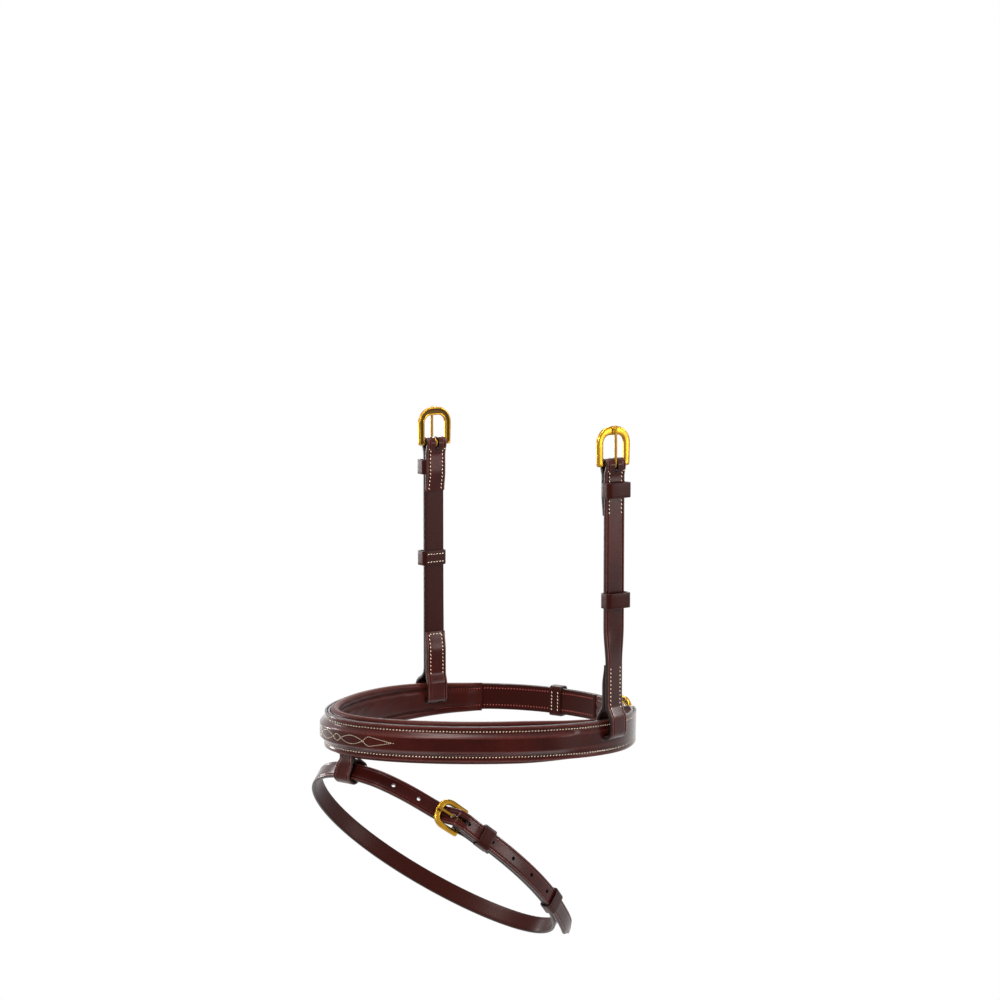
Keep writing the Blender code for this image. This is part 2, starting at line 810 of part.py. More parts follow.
def cheek_path(side):
    """(out, height) centre line: up from the lower tail, through the slit, to the chape."""
    outer, inner, middle = cheek_levels(side)
    level = (CHEEK_LEATHER + LAYER_GAP) / 2
    band_top = padding_half(-OFF_SLOT) if side == "off" else BAND_HEIGHT / 2
    join = OFF_LOOP_JOIN if side == "off" else NEAR_LOOP_JOIN
    corners = (
        (middle - level, CHEEK_LOOP_TAIL),
        (middle - level, join),
        (inner, band_top + CHEEK_LOOP_CLEAR),
        (inner, 0),
        (outer, 0),
        (outer, band_top + CHEEK_LOOP_CLEAR),
        (middle + level, join),
        (middle + level, CHEEK_BAR_HEIGHT - CHEEK_CHAPE),
    )
    bend = 2 * MM
    radii = (8 * MM, 5 * MM, bend, bend, 5 * MM, 8 * MM)
    lower = fillet(corners, radii)
    fold = [
        Vector((middle + z, CHEEK_BAR_HEIGHT + x))
        for x, z in reversed(chape(CHEEK_LEATHER, CHEEK_CHAPE))
    ]
    return lower, fold, middle


def make_cheek(side):
    """One cheek strap with its buckle and two keepers, standing in its slit."""
    at = NEAR_SLOT if side == "near" else -OFF_SLOT
    outward = BAND.outward(at)
    heading = math.atan2(outward.y, outward.x)
    square = 0.0 if side == "near" else math.pi
    twist = (square - heading + math.pi) % (2 * math.pi) - math.pi
    slit = Matrix.Translation(BAND.place(at)) @ Matrix.Rotation(heading, 4, "Z")
    pivot = link(None, side + "_slit_pivot", matrix=slit)
    lower, fold, middle = cheek_path(side)
    divided = []
    for share in (0.0, 0.25, 0.5, 0.75, 1.0):
        height = CHEEK_LOOP_TAIL + (CHEEK_TWIST_END - CHEEK_LOOP_TAIL) * share
        divided.append(Vector((lower[-1].x, height)))
    path = lower[:-1] + divided + lower[-1:] + fold
    stations = []
    for out, height in path:
        turned = twist * ease(
            (height - CHEEK_LOOP_TAIL) / (CHEEK_TWIST_END - CHEEK_LOOP_TAIL)
        )
        arm = Vector((math.cos(turned), math.sin(turned), 0))
        centre = Vector((middle, 0, height)) + arm * (out - middle)
        stations.append((centre, UP.cross(arm), CHEEK_WIDTH / 2))
    made = strap(
        side + "_cheek_strap", stations, CHEEK_LEATHER, leather(side + "_cheek"), parent=pivot
    )
    upright = Matrix.Translation((middle, 0, 0)) @ Matrix.Rotation(twist, 4, "Z")
    stand = Matrix(((0, 0, 1), (0, -1, 0), (1, 0, 0))).to_4x4()
    buckle = upright @ Matrix.Translation((0, 0, CHEEK_BAR_HEIGHT)) @ stand
    cut(made, crew_slot(side + "_crew_slot", CHEEK_LEATHER, buckle, pivot))
    frame = buckle_frame(side + "_buckle_frame", CHEEK_WIDTH, buckle, pivot)
    buckle_tongue(side + "_buckle_tongue", CHEEK_WIDTH, Matrix(), frame)
    below = Matrix.Translation((-CHEEK_KEEPER_DROP, 0, 0))
    fixed_keeper(side + "_fixed_keeper", made, CHEEK_LEATHER, CHEEK_WIDTH / 2, BILLET_ROOM,
                 CHEEK_KEEPER_LENGTH, buckle @ below, pivot)
    height = NEAR_RUNNER_HEIGHT if side == "near" else OFF_RUNNER_HEIGHT
    low = LAYER_GAP / 2 - KEEPER_EASE
    high = LAYER_GAP / 2 + CHEEK_LEATHER + BILLET_ROOM
    runner_place = upright @ Matrix.Translation((0, 0, height)) @ stand
    keeper(side + "_runner", CHEEK_WIDTH / 2, low, high, CHEEK_KEEPER_LENGTH, runner_place, pivot)
    return pivot


def fixed_keeper(name, made, thickness, half_width, room, length, matrix, parent):
    """A keeper whose back is let into the chape's tail, under the strap it stands on."""
    low = LAYER_GAP / 2 - LAYER_GAP
    high = LAYER_GAP / 2 + thickness + room
    keeper(name, half_width, low, high, length, matrix, parent)
    depth = KEEPER_LEATHER + LAYER_GAP
    size = (length + 2 * LAYER_GAP, 3 * half_width, depth + LAYER_GAP / 2)
    middle = low - size[2] / 2 + LAYER_GAP / 2
    place = matrix @ Matrix.Translation((0, 0, middle))
    cut(made, box_cutter(name + "_groove", size, place, parent))


# Flash strap
FLASH_FRONT = Vector((FLASH_FRONT_X, FLASH_FRONT_Y, FLASH_FRONT_Z))
FLASH_RIGHT = Vector((math.cos(FLASH_YAW), -math.sin(FLASH_YAW), 0))
FLASH_BACK = Matrix.Rotation(-FLASH_SLOPE, 3, FLASH_RIGHT) @ UP.cross(FLASH_RIGHT)
FLASH_SIDE = Matrix.Rotation(-FLASH_ROLL, 3, FLASH_BACK) @ FLASH_RIGHT
FLASH = Route(
    FLASH_HALF_WIDTH,
    FLASH_HALF_LENGTH,
    FLASH_BACK_FULLNESS,
    FLASH_FRONT + FLASH_BACK * FLASH_HALF_LENGTH,
    FLASH_SIDE,
    FLASH_BACK,
)
FLASH_LEVEL = (FLASH_LEATHER + LAYER_GAP) / 2
FLASH_PIVOT = FLASH.place(FLASH_LOOP_AT, FLASH_LEVEL)


def flash_half(at):
    tip = FLASH_BAR + FLASH.length + FLASH_TAIL
    half = FLASH_WIDTH / 2
    return read_table(((tip - 0.45 * FLASH_WIDTH, half), (tip, 0.3 * half)), at)


def make_flash():
    """Flash strap from its chape, round the ring and through its own buckle."""
    level = FLASH_LEVEL
    pivot = link(None, "flash_pivot", matrix=Matrix.Translation(FLASH_PIVOT))
    to_pivot = Matrix.Translation(-FLASH_PIVOT)
    fold = [(FLASH_BAR - x, z) for x, z in chape(FLASH_LEATHER, FLASH_CHAPE)]
    tail_bar = FLASH_BAR + FLASH.length
    tail = billet_path(FLASH_LEATHER, FLASH_LEATHER, level, FLASH_TAIL)
    run = FLASH.between(fold[-1][0], tail_bar - tail[0].x)[1:-1]
    centres = fold + [(at, level) for at in run]
    centres += follow_route(FLASH, tail, tail_bar, 0)
    stations = [
        (to_pivot @ FLASH.place(at, out), FLASH.across, flash_half(at)) for at, out in centres
    ]
    made = strap("flash_strap", stations, FLASH_LEATHER, leather("flash"), parent=pivot)
    buckle = to_pivot @ FLASH.frame(FLASH_BAR)
    cut(made, crew_slot("flash_crew_slot", FLASH_LEATHER, buckle, pivot))
    cut(made, billet_hole("flash_billet_hole", FLASH, tail, FLASH_BAR, 0))
    for number in range(-FLASH_HOLES_FRONT, FLASH_HOLES_TAIL + 1):
        if number == 0:
            continue
        at = FLASH_BAR - crossing(tail) + number * FLASH_HOLE_PITCH
        out = level if number < 0 else level + FLASH_LEATHER + LAYER_GAP
        place = FLASH.frame(at, out)
        depth = FLASH_LEATHER + LAYER_GAP
        name = f"flash_hole_{number + FLASH_HOLES_FRONT}"
        cut(made, capsule_cutter(name, HOLE_WIDTH, HOLE_WIDTH, depth, place))
    frame = buckle_frame("flash_buckle_frame", FLASH_WIDTH, buckle, pivot)
    buckle_tongue("flash_buckle_tongue", FLASH_WIDTH, Matrix(), frame)
    room = LAYER_GAP + FLASH_LEATHER + KEEPER_EASE
    place = to_pivot @ FLASH.frame(FLASH_BAR + FLASH_KEEPER_FROM_BAR)
    fixed_keeper("flash_fixed_keeper", made, FLASH_LEATHER, FLASH_WIDTH / 2, room,
                 FLASH_KEEPER_LENGTH, place, pivot)
    low = LAYER_GAP / 2 - KEEPER_EASE
    high = LAYER_GAP / 2 + FLASH_LEATHER + room
    place = to_pivot @ FLASH.frame(FLASH_BAR + FLASH_RUNNER_FROM_BAR)
    keeper("flash_runner", FLASH_WIDTH / 2, low, high, FLASH_KEEPER_LENGTH, place, pivot)
    return pivot


# Flash loop
def loop_levels():
    """Levels of the loop's front and back layer, flat behind the curved backing."""
    edge = BAND.place(LOOP_ON_BAND + FLASH_LOOP_WIDTH / 2) - BAND.place(LOOP_ON_BAND)
    bulge = edge.dot(BAND.outward(LOOP_ON_BAND))
    front = PADDING_LEVEL + bulge - LOOP_LEATHER / 2
    return front, front - LOOP_LEATHER - LAYER_GAP


def loop_pocket():
    front, back = loop_levels()
    top = FLASH_LOOP_TOP + LAYER_GAP
    bottom = -PADDING_HEIGHT
    depth = PADDING_LEVEL - back + LOOP_LEATHER / 2 + 2 * LAYER_GAP
    size = (FLASH_LOOP_WIDTH + 2 * LAYER_GAP, top - bottom, depth)
    middle = PADDING_LEVEL - depth / 2 + LAYER_GAP
    place = BAND.frame(LOOP_ON_BAND, middle, (top + bottom) / 2)
    return box_cutter("flash_loop_pocket", size, place)


def make_loop():
    """Folded leather loop under the front of the noseband, its ends behind the backing."""
    front, back = loop_levels()
    high = FLASH_LOOP_ROOM_ALONG + LOOP_LEATHER / 2
    deep = FLASH_LOOP_ROOM_ACROSS + LOOP_LEATHER / 2
    low_edge = -PADDING_HEIGHT / 2 - LOOP_LEATHER - LAYER_GAP
    origin = BAND.place(LOOP_ON_BAND)
    outward = BAND.outward(LOOP_ON_BAND)
    out_of_ring = FLASH.outward(FLASH_LOOP_AT)
    corners = [(front, FLASH_LOOP_TOP), (front, low_edge)]
    for rise, reach in ((-1, -1), (-1, 1), (1, 1), (1, -1)):
        corner = FLASH_PIVOT + FLASH.across * (high * rise) - out_of_ring * (deep * reach)
        corner -= origin
        corners.append((corner.dot(outward), corner.dot(BAND.across)))
    corners += [(back, low_edge), (back, FLASH_LOOP_TOP)]
    path = fillet(corners, [3 * MM, 2.6 * MM, 2.6 * MM, 2.2 * MM, 1.5 * MM, 1.5 * MM])
    sideways = BAND.tangent(LOOP_ON_BAND)
    ahead = FLASH.tangent(FLASH_LOOP_AT)
    stations = []
    for out, up in path:
        share = ease((low_edge - up) / (PADDING_HEIGHT / 7))
        side = sideways.lerp(ahead, share).normalized()
        centre = origin + outward * out + BAND.across * up
        stations.append((centre, side, FLASH_LOOP_WIDTH / 2))
    return strap("flash_loop", stations, LOOP_LEATHER, leather("loop_leather"))


def make_rear_buckle():
    """Buckle under the jaw, and the runner that holds the billet's tail to the strap."""
    place = BAND.frame(OFF_BAR, REAR_AXIS)
    frame = buckle_frame("rear_buckle_frame", BILLET_WIDTH, place, None)
    buckle_tongue("rear_buckle_tongue", BILLET_WIDTH, Matrix(), frame)
    low = PADDING_LEVEL + LAYER_GAP - KEEPER_EASE
    high = FACE_LEATHER + LAYER_GAP + BACKING_LEATHER + KEEPER_EASE
    runner = BAND.frame(OFF_BAR + REAR_RUNNER_FROM_BAR)
    keeper("rear_runner", JAW_HEIGHT / 2, low, high, REAR_RUNNER_LENGTH, runner, None)


def build():
    clear_scene()
    make_face()
    make_backing()
    make_raise()
    make_padding()
    make_loop()
    make_rear_buckle()
    make_cheek("near")
    make_cheek("off")
    make_flash()


build()
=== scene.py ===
"""Looks of the flash noseband: bridle leather, padded lining, stitching and brass."""
import math

import bmesh
import bpy
from mathutils import Matrix, Vector
from mathutils.bvhtree import BVHTree


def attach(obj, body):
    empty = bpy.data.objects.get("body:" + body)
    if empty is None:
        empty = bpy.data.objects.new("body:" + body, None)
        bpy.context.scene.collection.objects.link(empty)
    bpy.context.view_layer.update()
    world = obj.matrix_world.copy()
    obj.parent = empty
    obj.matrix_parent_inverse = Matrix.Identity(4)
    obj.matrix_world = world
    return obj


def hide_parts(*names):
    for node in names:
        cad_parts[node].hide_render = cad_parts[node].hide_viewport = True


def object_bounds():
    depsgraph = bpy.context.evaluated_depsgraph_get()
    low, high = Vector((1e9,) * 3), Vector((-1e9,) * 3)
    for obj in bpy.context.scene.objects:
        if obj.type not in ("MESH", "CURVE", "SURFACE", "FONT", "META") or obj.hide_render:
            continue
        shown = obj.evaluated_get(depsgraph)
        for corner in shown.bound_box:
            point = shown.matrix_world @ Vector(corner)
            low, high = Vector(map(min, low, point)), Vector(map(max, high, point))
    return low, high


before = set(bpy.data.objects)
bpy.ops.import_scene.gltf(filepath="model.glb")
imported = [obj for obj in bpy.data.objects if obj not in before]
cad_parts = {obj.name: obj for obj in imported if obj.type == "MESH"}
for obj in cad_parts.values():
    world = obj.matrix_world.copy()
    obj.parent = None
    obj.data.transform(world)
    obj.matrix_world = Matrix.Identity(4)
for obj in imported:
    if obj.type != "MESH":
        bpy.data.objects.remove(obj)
CAD_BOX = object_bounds()

MM = 0.001
UP = Vector((0, 0, 1))

# Leathers and clearances, as in the part
FACE_LEATHER = 1.4 * MM
BACKING_LEATHER = 2.0 * MM
CHEEK_LEATHER = 2.5 * MM
FLASH_LEATHER = 2.4 * MM
KEEPER_LEATHER = 1.1 * MM
LOOP_LEATHER = 1.5 * MM
LAYER_GAP = 0.3 * MM
KEEPER_EASE = 0.5 * MM

# Noseband
BAND_HALF_WIDTH = 90.0 * MM
BAND_HALF_LENGTH = 108.0 * MM
BAND_FULLNESS = 0.24
BAND_TILT = math.radians(1.5)
BAND_HEIGHT = 23.0 * MM
CORNER_HEIGHT = 20.4 * MM
JAW_HEIGHT = 18.0 * MM
BILLET_WIDTH = 16.0 * MM
NEAR_SLOT = 197.0 * MM
OFF_SLOT = 176.0 * MM
RAISE_END = 173.0 * MM
RAISE_HEIGHT = 3.1 * MM
RAISE_TOP_WIDTH = 8.6 * MM
RAISE_SHOULDER = 3.3 * MM
RAISE_RUNOUT = 26.0 * MM
STITCH_INSET = 3.15 * MM
FACE_RIM = 4.0 * MM
FACE_BORDER = 1.5 * MM
ROW_CHANNEL_STEP = 0.55 * MM
ROW_CHANNEL_DEPTH = 0.30 * MM
FACE_NEAR_END = 262.0 * MM
OFF_NARROW_START = 116.0 * MM
OFF_NARROW_END = 230.0 * MM

# Padding
PADDING_HEIGHT = 28.0 * MM
PADDING_DEPTH = 5.6 * MM
PADDING_CROWN = 0.6 * MM
PADDING_DIP = 1.5 * MM
PADDING_NEAR_END = 185.0 * MM
PADDING_OFF_END = 216.0 * MM
PADDING_RUNOUT = 14.0 * MM
PADDING_NEAR_TAPER = 60.0 * MM
PADDING_OFF_TAPER = 150.0 * MM
PADDING_END_LIP = 0.8 * MM
PADDING_END_SHARE = 0.3
CHANNEL_WIDE = 2.6 * MM
CHANNEL_TIGHT = 1.0 * MM
SOFT_WAVE = 0.10 * MM
LONG_WAVE = 7.1 * MM
SHORT_WAVE = 3.3 * MM

# Rear closure
REAR_BAR = 298.0 * MM
REAR_TAIL = 87.0 * MM
REAR_CHAPE = 20.0 * MM
REAR_RUNNER_FROM_BAR = 57.0 * MM
REAR_RUNNER_LENGTH = 9.0 * MM

# Cheek straps
CHEEK_WIDTH = 16.0 * MM
CHEEK_BAR_HEIGHT = 180.0 * MM
CHEEK_LOOP_CLEAR = 1.3 * MM
NEAR_LOOP_BULGE = 2.7 * MM
CHEEK_LEAN = {"near": 0.464, "off": 0.8}
LOOP_JOIN = {"near": 20.5 * MM, "off": 18.5 * MM}
CHEEK_ROUNDS = {
    "near": [radius * MM for radius in (8, 5, 2, 4.2, 7, 8)],
    "off": [radius * MM for radius in (8, 5, 2, 2, 7, 8)],
}
CHEEK_LOOP_TAIL = 48.0 * MM
CHEEK_TWIST_END = 74.0 * MM
CHEEK_CHAPE = 33.0 * MM
CHEEK_KEEPER_DROP = 16.5 * MM
CHEEK_KEEPER_LENGTH = 10.0 * MM
BILLET_ROOM = 4.4 * MM
RUNNER_HEIGHT = {"near": 91.0 * MM, "off": 100.0 * MM}
SLIT_HEIGHT = 4.0 * MM
SLIT_EASE = 0.5 * MM
SKIVED_LENGTH = 13.0 * MM
SKIVED_SHARE = 0.25

# Flash strap and its loop
FLASH_WIDTH = 12.2 * MM
FLASH_FRONT = Vector((-24.0, -103.5, -27.0)) * MM
FLASH_SLOPE = math.radians(35.5)
FLASH_YAW = math.radians(24.8)
FLASH_ROLL = math.radians(27.9)
FLASH_HALF_WIDTH = 56.5 * MM
FLASH_HALF_LENGTH = 93.6 * MM
FLASH_FULLNESS = -0.10
FLASH_BAR = 110.5 * MM
FLASH_TAIL = 125.0 * MM
FLASH_CHAPE = 27.0 * MM
FLASH_KEEPER_FROM_BAR = 18.5 * MM
FLASH_RUNNER_FROM_BAR = 90.5 * MM
FLASH_KEEPER_LENGTH = 9.0 * MM
FLASH_HOLE_PITCH = 18.5 * MM
FLASH_HOLE_SHIFT = 6.3 * MM
FLASH_HOLE_WIDTH = 2.55 * MM
FLASH_TIP_RADIUS = 52.0 * MM
LOOP_ON_BAND = 4.7 * MM
FLASH_LOOP_AT = 28.65 * MM
FLASH_LOOP_WIDTH = 13.0 * MM
FLASH_LOOP_ROOM_ACROSS = 3.3 * MM
FLASH_LOOP_ROOM_ALONG = 7.4 * MM
FLASH_LOOP_TOP = -1.0 * MM
FLASH_LOOP_ROUNDS = [radius * MM for radius in (3, 3.8, 3.8, 3.2, 1.5, 1.5)]

# Buckles and the billets through them
BUCKLE_METAL = 2.6 * MM
BUCKLE_OPENING_SHARE = 1.12
BUCKLE_FRONT_SHARE = 0.36
BUCKLE_LIMB_SHARE = 0.33
BUCKLE_HEEL_SHARE = 0.28
BUCKLE_FRONT_ROUND = 1.35
BUCKLE_OPENING_ROUND = 0.62
BILLET_DIP_START = 33.0 * MM
BILLET_DIP_END = 24.0 * MM
BILLET_RISE_END = 4.2 * MM
BILLET_TOP_END = -2.0 * MM
BILLET_SETTLED = -10.0 * MM
BILLET_BEND = 3.0 * MM
BILLET_SWEEP = 20.0 * MM
FLASH_DIP_START = 62.0 * MM
FLASH_SWEEP = 60.0 * MM
BUCKLE_EASE = 0.5 * MM
NOTCH_DEPTH = 0.45 * MM
NOTCH_HALF = 0.7 * MM
TONGUE_WIRE = 2.0 * MM
TONGUE_OVERHANG = 0.4 * MM
TONGUE_BOW = 0.25 * MM
TONGUE_DROP = 0.35 * MM
TONGUE_EYE_START = 364
TONGUE_EYE_TURN = 274
SLOT_SIDE_EASE = 0.4 * MM
BILLET_HOLE_STRETCH = 1.8
BILLET_HOLE_DEPTH = 9.0 * MM
CHAPE_RUN = 7.0 * MM
CHAPE_WRAP = 105

# Keepers and creases
KEEPER_ROUND = 2.0 * MM
KEEPER_SWELL = 0.45 * MM
CREASE_INSET = 2.0 * MM
CREASE_DEPTH = 0.28 * MM
CREASE_STEP = 0.27 * MM
CROWN = 0.08 * MM
# Inset, depth, crown and step where a leather has its own
JAW_CREASE = (1.9 * MM, 0.18 * MM, 0.0)
FLASH_CREASE = (1.9 * MM,)
LOOP_CREASE = (1.7 * MM, 0.22 * MM, 0.0)
KEEPER_CREASE = (1.7 * MM, 0.36 * MM, 0.10 * MM, 0.36 * MM)

# Thread
PITCH = 2.15 * MM
CHEEK_PITCH = 2.6 * MM
FINE_PITCH = 1.25 * MM
STITCH_WIDTH = 0.60 * MM
STITCH_HALF_SHARE = 0.29
STITCH_SLANT = 0.9
STITCH_SIDES = 6
PADDING_STITCH = 0.8 * MM
GARNET_STITCH = 0.75 * MM
KEEPER_STITCH = 0.5 * MM
KEEPER_ROW_SHARE = 0.27
KEEPER_NEEDLE = 4.0 * MM
FANCY_STITCH = 0.34 * MM
NEEDLE_REACH = 12.0 * MM
ROW_MARGIN = 3.0 * MM
FOLD_MARGIN = 5.0 * MM
SEAM_MARGIN = 2.0 * MM

# How far out a stitch is looked for, in mm, above the noseband and beside the flash fold
NEEDLE_START = 11
FLASH_WRAP_NEEDLE = 4.6

# Rows on the cheek straps and on the flash strap
CHEEK_NEEDLE = 9.0 * MM
CHEEK_COLUMN = 5.0 * MM
LOWER_ROWS = (19.5 * MM, CHEEK_LOOP_TAIL - 2.5 * MM)
CLOSING_ROW = CHEEK_LOOP_TAIL - 1.4 * MM
UPPER_ROWS = (CHEEK_BAR_HEIGHT - CHEEK_CHAPE + 1.5 * MM, CHEEK_BAR_HEIGHT - 5.5 * MM)
WRAP_HEIGHT = CHEEK_BAR_HEIGHT - 4.0 * MM
WRAP_COLUMN = 6.3 * MM
FLASH_NEEDLE = 8.0 * MM
FLASH_COLUMN = 3.9 * MM
FLASH_ROW_START = 4.5 * MM
FLASH_WRAP = 3.2 * MM
FLASH_WRAP_COLUMN = 5.0 * MM

# Fancy stitching: lenses out from the middle, each with its start, end and half height in mm,
# and the share of its length at which it is highest
FANCY_MIDDLE = 4.7 * MM
FANCY_LENSES = ((-3.3, 3.3, 2.2, 0.5), (3.3, 19.8, 2.75, 0.5), (19.8, 39.0, 3.1, 0.24))
FANCY_TIP = (39.4, 40.7)

# Studio, and the photograph's viewpoint
LAMP_DISTANCE = 1.5
WORLD_LIGHT = 0.22
FLOOR_RADIUS = 4.0
FLOOR_DROP = 150.0 * MM
WHITE_FADE = (0.06, 0.40)
CAMERA_TURN = math.radians(54.45)
CAMERA_PITCH = math.radians(6.95)
CAMERA_DISTANCE = 2.214
CAMERA_BACK = 2.1 * MM
FOCAL_SHARE = 3.299
SENSOR_WIDTH = 36
ORIGIN_ACROSS = 0.47085
ORIGIN_DOWN = 0.72162

# Zones of a leather's section, steps along it, and the angle in degrees up to which it is smooth
FACE, EDGE, BACK = 0, 1, 2
SMOOTH = 40
STEP = 2.0 * MM
FINE_STEP = 1.6 * MM


def ease(share):
    share = min(max(share, 0.0), 1.0)
    return share * share * (3 - 2 * share)


def read_table(table, at):
    """Smooth reading between (place, value) pairs."""
    if at <= table[0][0]:
        return table[0][1]
    for (start, low), (end, high) in zip(table, table[1:]):
        if at <= end:
            return low + (high - low) * ease((at - start) / (end - start))
    return table[-1][1]


def fillet(corners, radii, turn=math.radians(9)):
    """A 2D line through the corners, each inner corner rounded to its radius."""
    points = [Vector(corners[0])]
    for before, corner, after, radius in zip(corners, corners[1:], corners[2:], radii):
        corner = Vector(corner)
        back = (Vector(before) - corner).normalized()
        ahead = (Vector(after) - corner).normalized()
        angle = math.pi - back.angle(ahead)
        if radius <= 0 or angle < 0.01:
            points.append(corner)
            continue
        start = corner + back * (radius * math.tan(angle / 2))
        centre = corner + (back + ahead).normalized() * (radius / math.cos(angle / 2))
        side = 1 if back.x * ahead.y - back.y * ahead.x < 0 else -1
        steps = max(2, math.ceil(angle / turn))
        for step in range(steps + 1):
            arm = start - centre
            arm.rotate(Matrix.Rotation(side * angle * step / steps, 2))
            points.append(centre + arm)
    points.append(Vector(corners[-1]))
    return points


def closed_fillet(corners, radii, turn=math.radians(9)):
    """The same for a closed outline: its seam lies half way along the last side."""
    seam = (Vector(corners[-1]) + Vector(corners[0])) / 2
    return fillet([seam, *corners, seam], radii, turn)[:-1]


def finer(points, step=STEP):
    """The same line with its long runs divided."""
    found = [points[0]]
    for first, second in zip(points, points[1:]):
        parts = max(1, math.ceil((second - first).length / step))
        found += [first.lerp(second, part / parts) for part in range(1, parts + 1)]
    return found


class Oval:
    """A closed oval plan curve, read by the length along it from its front point."""

    def __init__(self, half_width, half_length, fullness, centre, side, back):
        count = 1440
        self.across = side.cross(back).normalized()
        turns = [2 * math.pi * step / count for step in range(count)]
        self.points = [
            centre
            + side * (half_width * math.sin(turn) * (1 - fullness * math.cos(turn)))
            - back * (half_length * math.cos(turn))
            for turn in turns
        ]
        self.steps = [
            (self.points[(i + 1) % count] - self.points[i]).length for i in range(count)
        ]
        self.starts = [0.0]
        for step in self.steps:
            self.starts.append(self.starts[-1] + step)
        self.length = self.starts[-1]

    def index(self, at):
        at = at % self.length
        low, high = 0, len(self.points)
        while high - low > 1:
            middle = (low + high) // 2
            if self.starts[middle] <= at:
                low = middle
            else:
                high = middle
        return low, (at - self.starts[low]) / self.steps[low]

    def tangent(self, at):
        place, share = self.index(at)
        count = len(self.points)
        first = self.points[(place + 1) % count] - self.points[place - 1]
        second = self.points[(place + 2) % count] - self.points[place]
        return first.normalized().lerp(second.normalized(), share).normalized()

    def outward(self, at):
        return self.tangent(at).cross(self.across).normalized()

    def place(self, at, out=0.0, up=0.0):
        index, share = self.index(at)
        start = self.points[index]
        end = self.points[(index + 1) % len(self.points)]
        return start.lerp(end, share) + self.outward(at) * out + self.across * up

    def frame(self, at, out=0.0, up=0.0):
        """Axes for a buckle or keeper: x back along the curve, y across, z outward."""
        ahead = -self.tangent(at)
        outward = self.outward(at)
        axes = Matrix((ahead, outward.cross(ahead), outward)).transposed()
        return Matrix.Translation(self.place(at, out, up)) @ axes.to_4x4()

    def stations(self, points):
        """Stations for a sweep through (along, out) points on this oval."""
        centres = [self.place(at, out) for at, out in points]
        return [
            (centre, self.across, at) for centre, (at, out) in zip(centres, points)
        ]


BAND = Oval(
    BAND_HALF_WIDTH,
    BAND_HALF_LENGTH,
    BAND_FULLNESS,
    Vector(),
    Vector((1, 0, 0)),
    Vector((0, math.cos(BAND_TILT), -math.sin(BAND_TILT))),
)
FLASH_RIGHT = Vector((math.cos(FLASH_YAW), -math.sin(FLASH_YAW), 0))
FLASH_BACK = Matrix.Rotation(-FLASH_SLOPE, 3, FLASH_RIGHT) @ UP.cross(FLASH_RIGHT)
FLASH_SIDE = Matrix.Rotation(-FLASH_ROLL, 3, FLASH_BACK) @ FLASH_RIGHT
FLASH = Oval(
    FLASH_HALF_WIDTH,
    FLASH_HALF_LENGTH,
    FLASH_FULLNESS,
    FLASH_FRONT + FLASH_BACK * FLASH_HALF_LENGTH,
    FLASH_SIDE,
    FLASH_BACK,
)
FACE_LEVEL = FACE_LEATHER / 2
BACKING_LEVEL = -LAYER_GAP - BACKING_LEATHER / 2
PADDING_LEVEL = -LAYER_GAP * 2 - BACKING_LEATHER
OFF_BAR = REAR_BAR - BAND.length
REAR_AXIS = -LAYER_GAP / 2
BAR_REACH = BUCKLE_METAL / 2 * 1.08
TONGUE_RADIUS = TONGUE_WIRE / 2
TONGUE_LEVEL = BAR_REACH + LAYER_GAP + TONGUE_RADIUS
TONGUE_SLOT = TONGUE_WIRE + 2 * SLOT_SIDE_EASE
FLASH_LEVEL = (FLASH_LEATHER + LAYER_GAP) / 2
FLASH_PIVOT = FLASH.place(FLASH_LOOP_AT, FLASH_LEVEL)


# Materials
def paint(code):
    """Linear colour of a six-digit screen colour."""
    shares = [int(code[i : i + 2], 16) / 255 for i in (0, 2, 4)]
    return [s / 12.92 if s <= 0.04045 else ((s + 0.055) / 1.055) ** 2.4 for s in shares]


def new_group(name, inputs, outputs):
    """An empty shader group with named sockets, and its two end nodes."""
    group = bpy.data.node_groups.new(name, "ShaderNodeTree")
    for label, kind, value in inputs:
        socket = group.interface.new_socket(label, in_out="INPUT", socket_type=kind)
        if value is not None:
            socket.default_value = value
    for label, kind in outputs:
        group.interface.new_socket(label, in_out="OUTPUT", socket_type=kind)
    return group, group.nodes.new("NodeGroupInput"), group.nodes.new("NodeGroupOutput")


def node(tree, kind, values=(), **settings):
    made = tree.nodes.new(kind)
    for key, value in settings.items():
        setattr(made, key, value)
    for key, value in dict(values).items():
        made.inputs[key].default_value = value
    return made


def join(tree, start, end):
    tree.links.new(start, end)


def texture(group, start, kind, values=(), **settings):
    """A texture node that is read at the coordinates its group gets."""
    made = node(group, kind, values, **settings)
    join(group, start.outputs["Vector"], made.inputs["Vector"])
    return made


def between(tree, value, low, high):
    """0 at or below one value, 1 at or above another, even in between."""
    made = node(tree, "ShaderNodeMapRange", {"From Min": low, "From Max": high})
    join(tree, value, made.inputs["Value"])
    return made.outputs["Result"]


def mix_into(tree, end, share, first, second):
    """Two shaders mixed into an output node's surface."""
    made = tree.nodes.new("ShaderNodeMixShader")
    for socket, value in zip(made.inputs, (share, first.outputs[0], second.outputs[0])):
        join(tree, value, socket)
    join(tree, made.outputs[0], tree.nodes[end].inputs["Surface"])


def maths(tree, operation, first, second):
    """A Math node whose two inputs are sockets or numbers."""
    made = node(tree, "ShaderNodeMath", operation=operation)
    for socket, value in zip(made.inputs, (first, second)):
        if isinstance(value, (int, float)):
            socket.default_value = value
        else:
            join(tree, value, socket)
    return made.outputs[0]


def blend_colour(tree, share, first, second):
    """Mix of two colours, each a socket or a linear colour."""
    made = node(tree, "ShaderNodeMix", data_type="RGBA")
    join(tree, share, made.inputs["Factor"])
    for socket, value in ((made.inputs[6], first), (made.inputs[7], second)):
        if isinstance(value, (list, tuple)):
            socket.default_value = (*value, 1)
        else:
            join(tree, value, socket)
    return made.outputs[2]


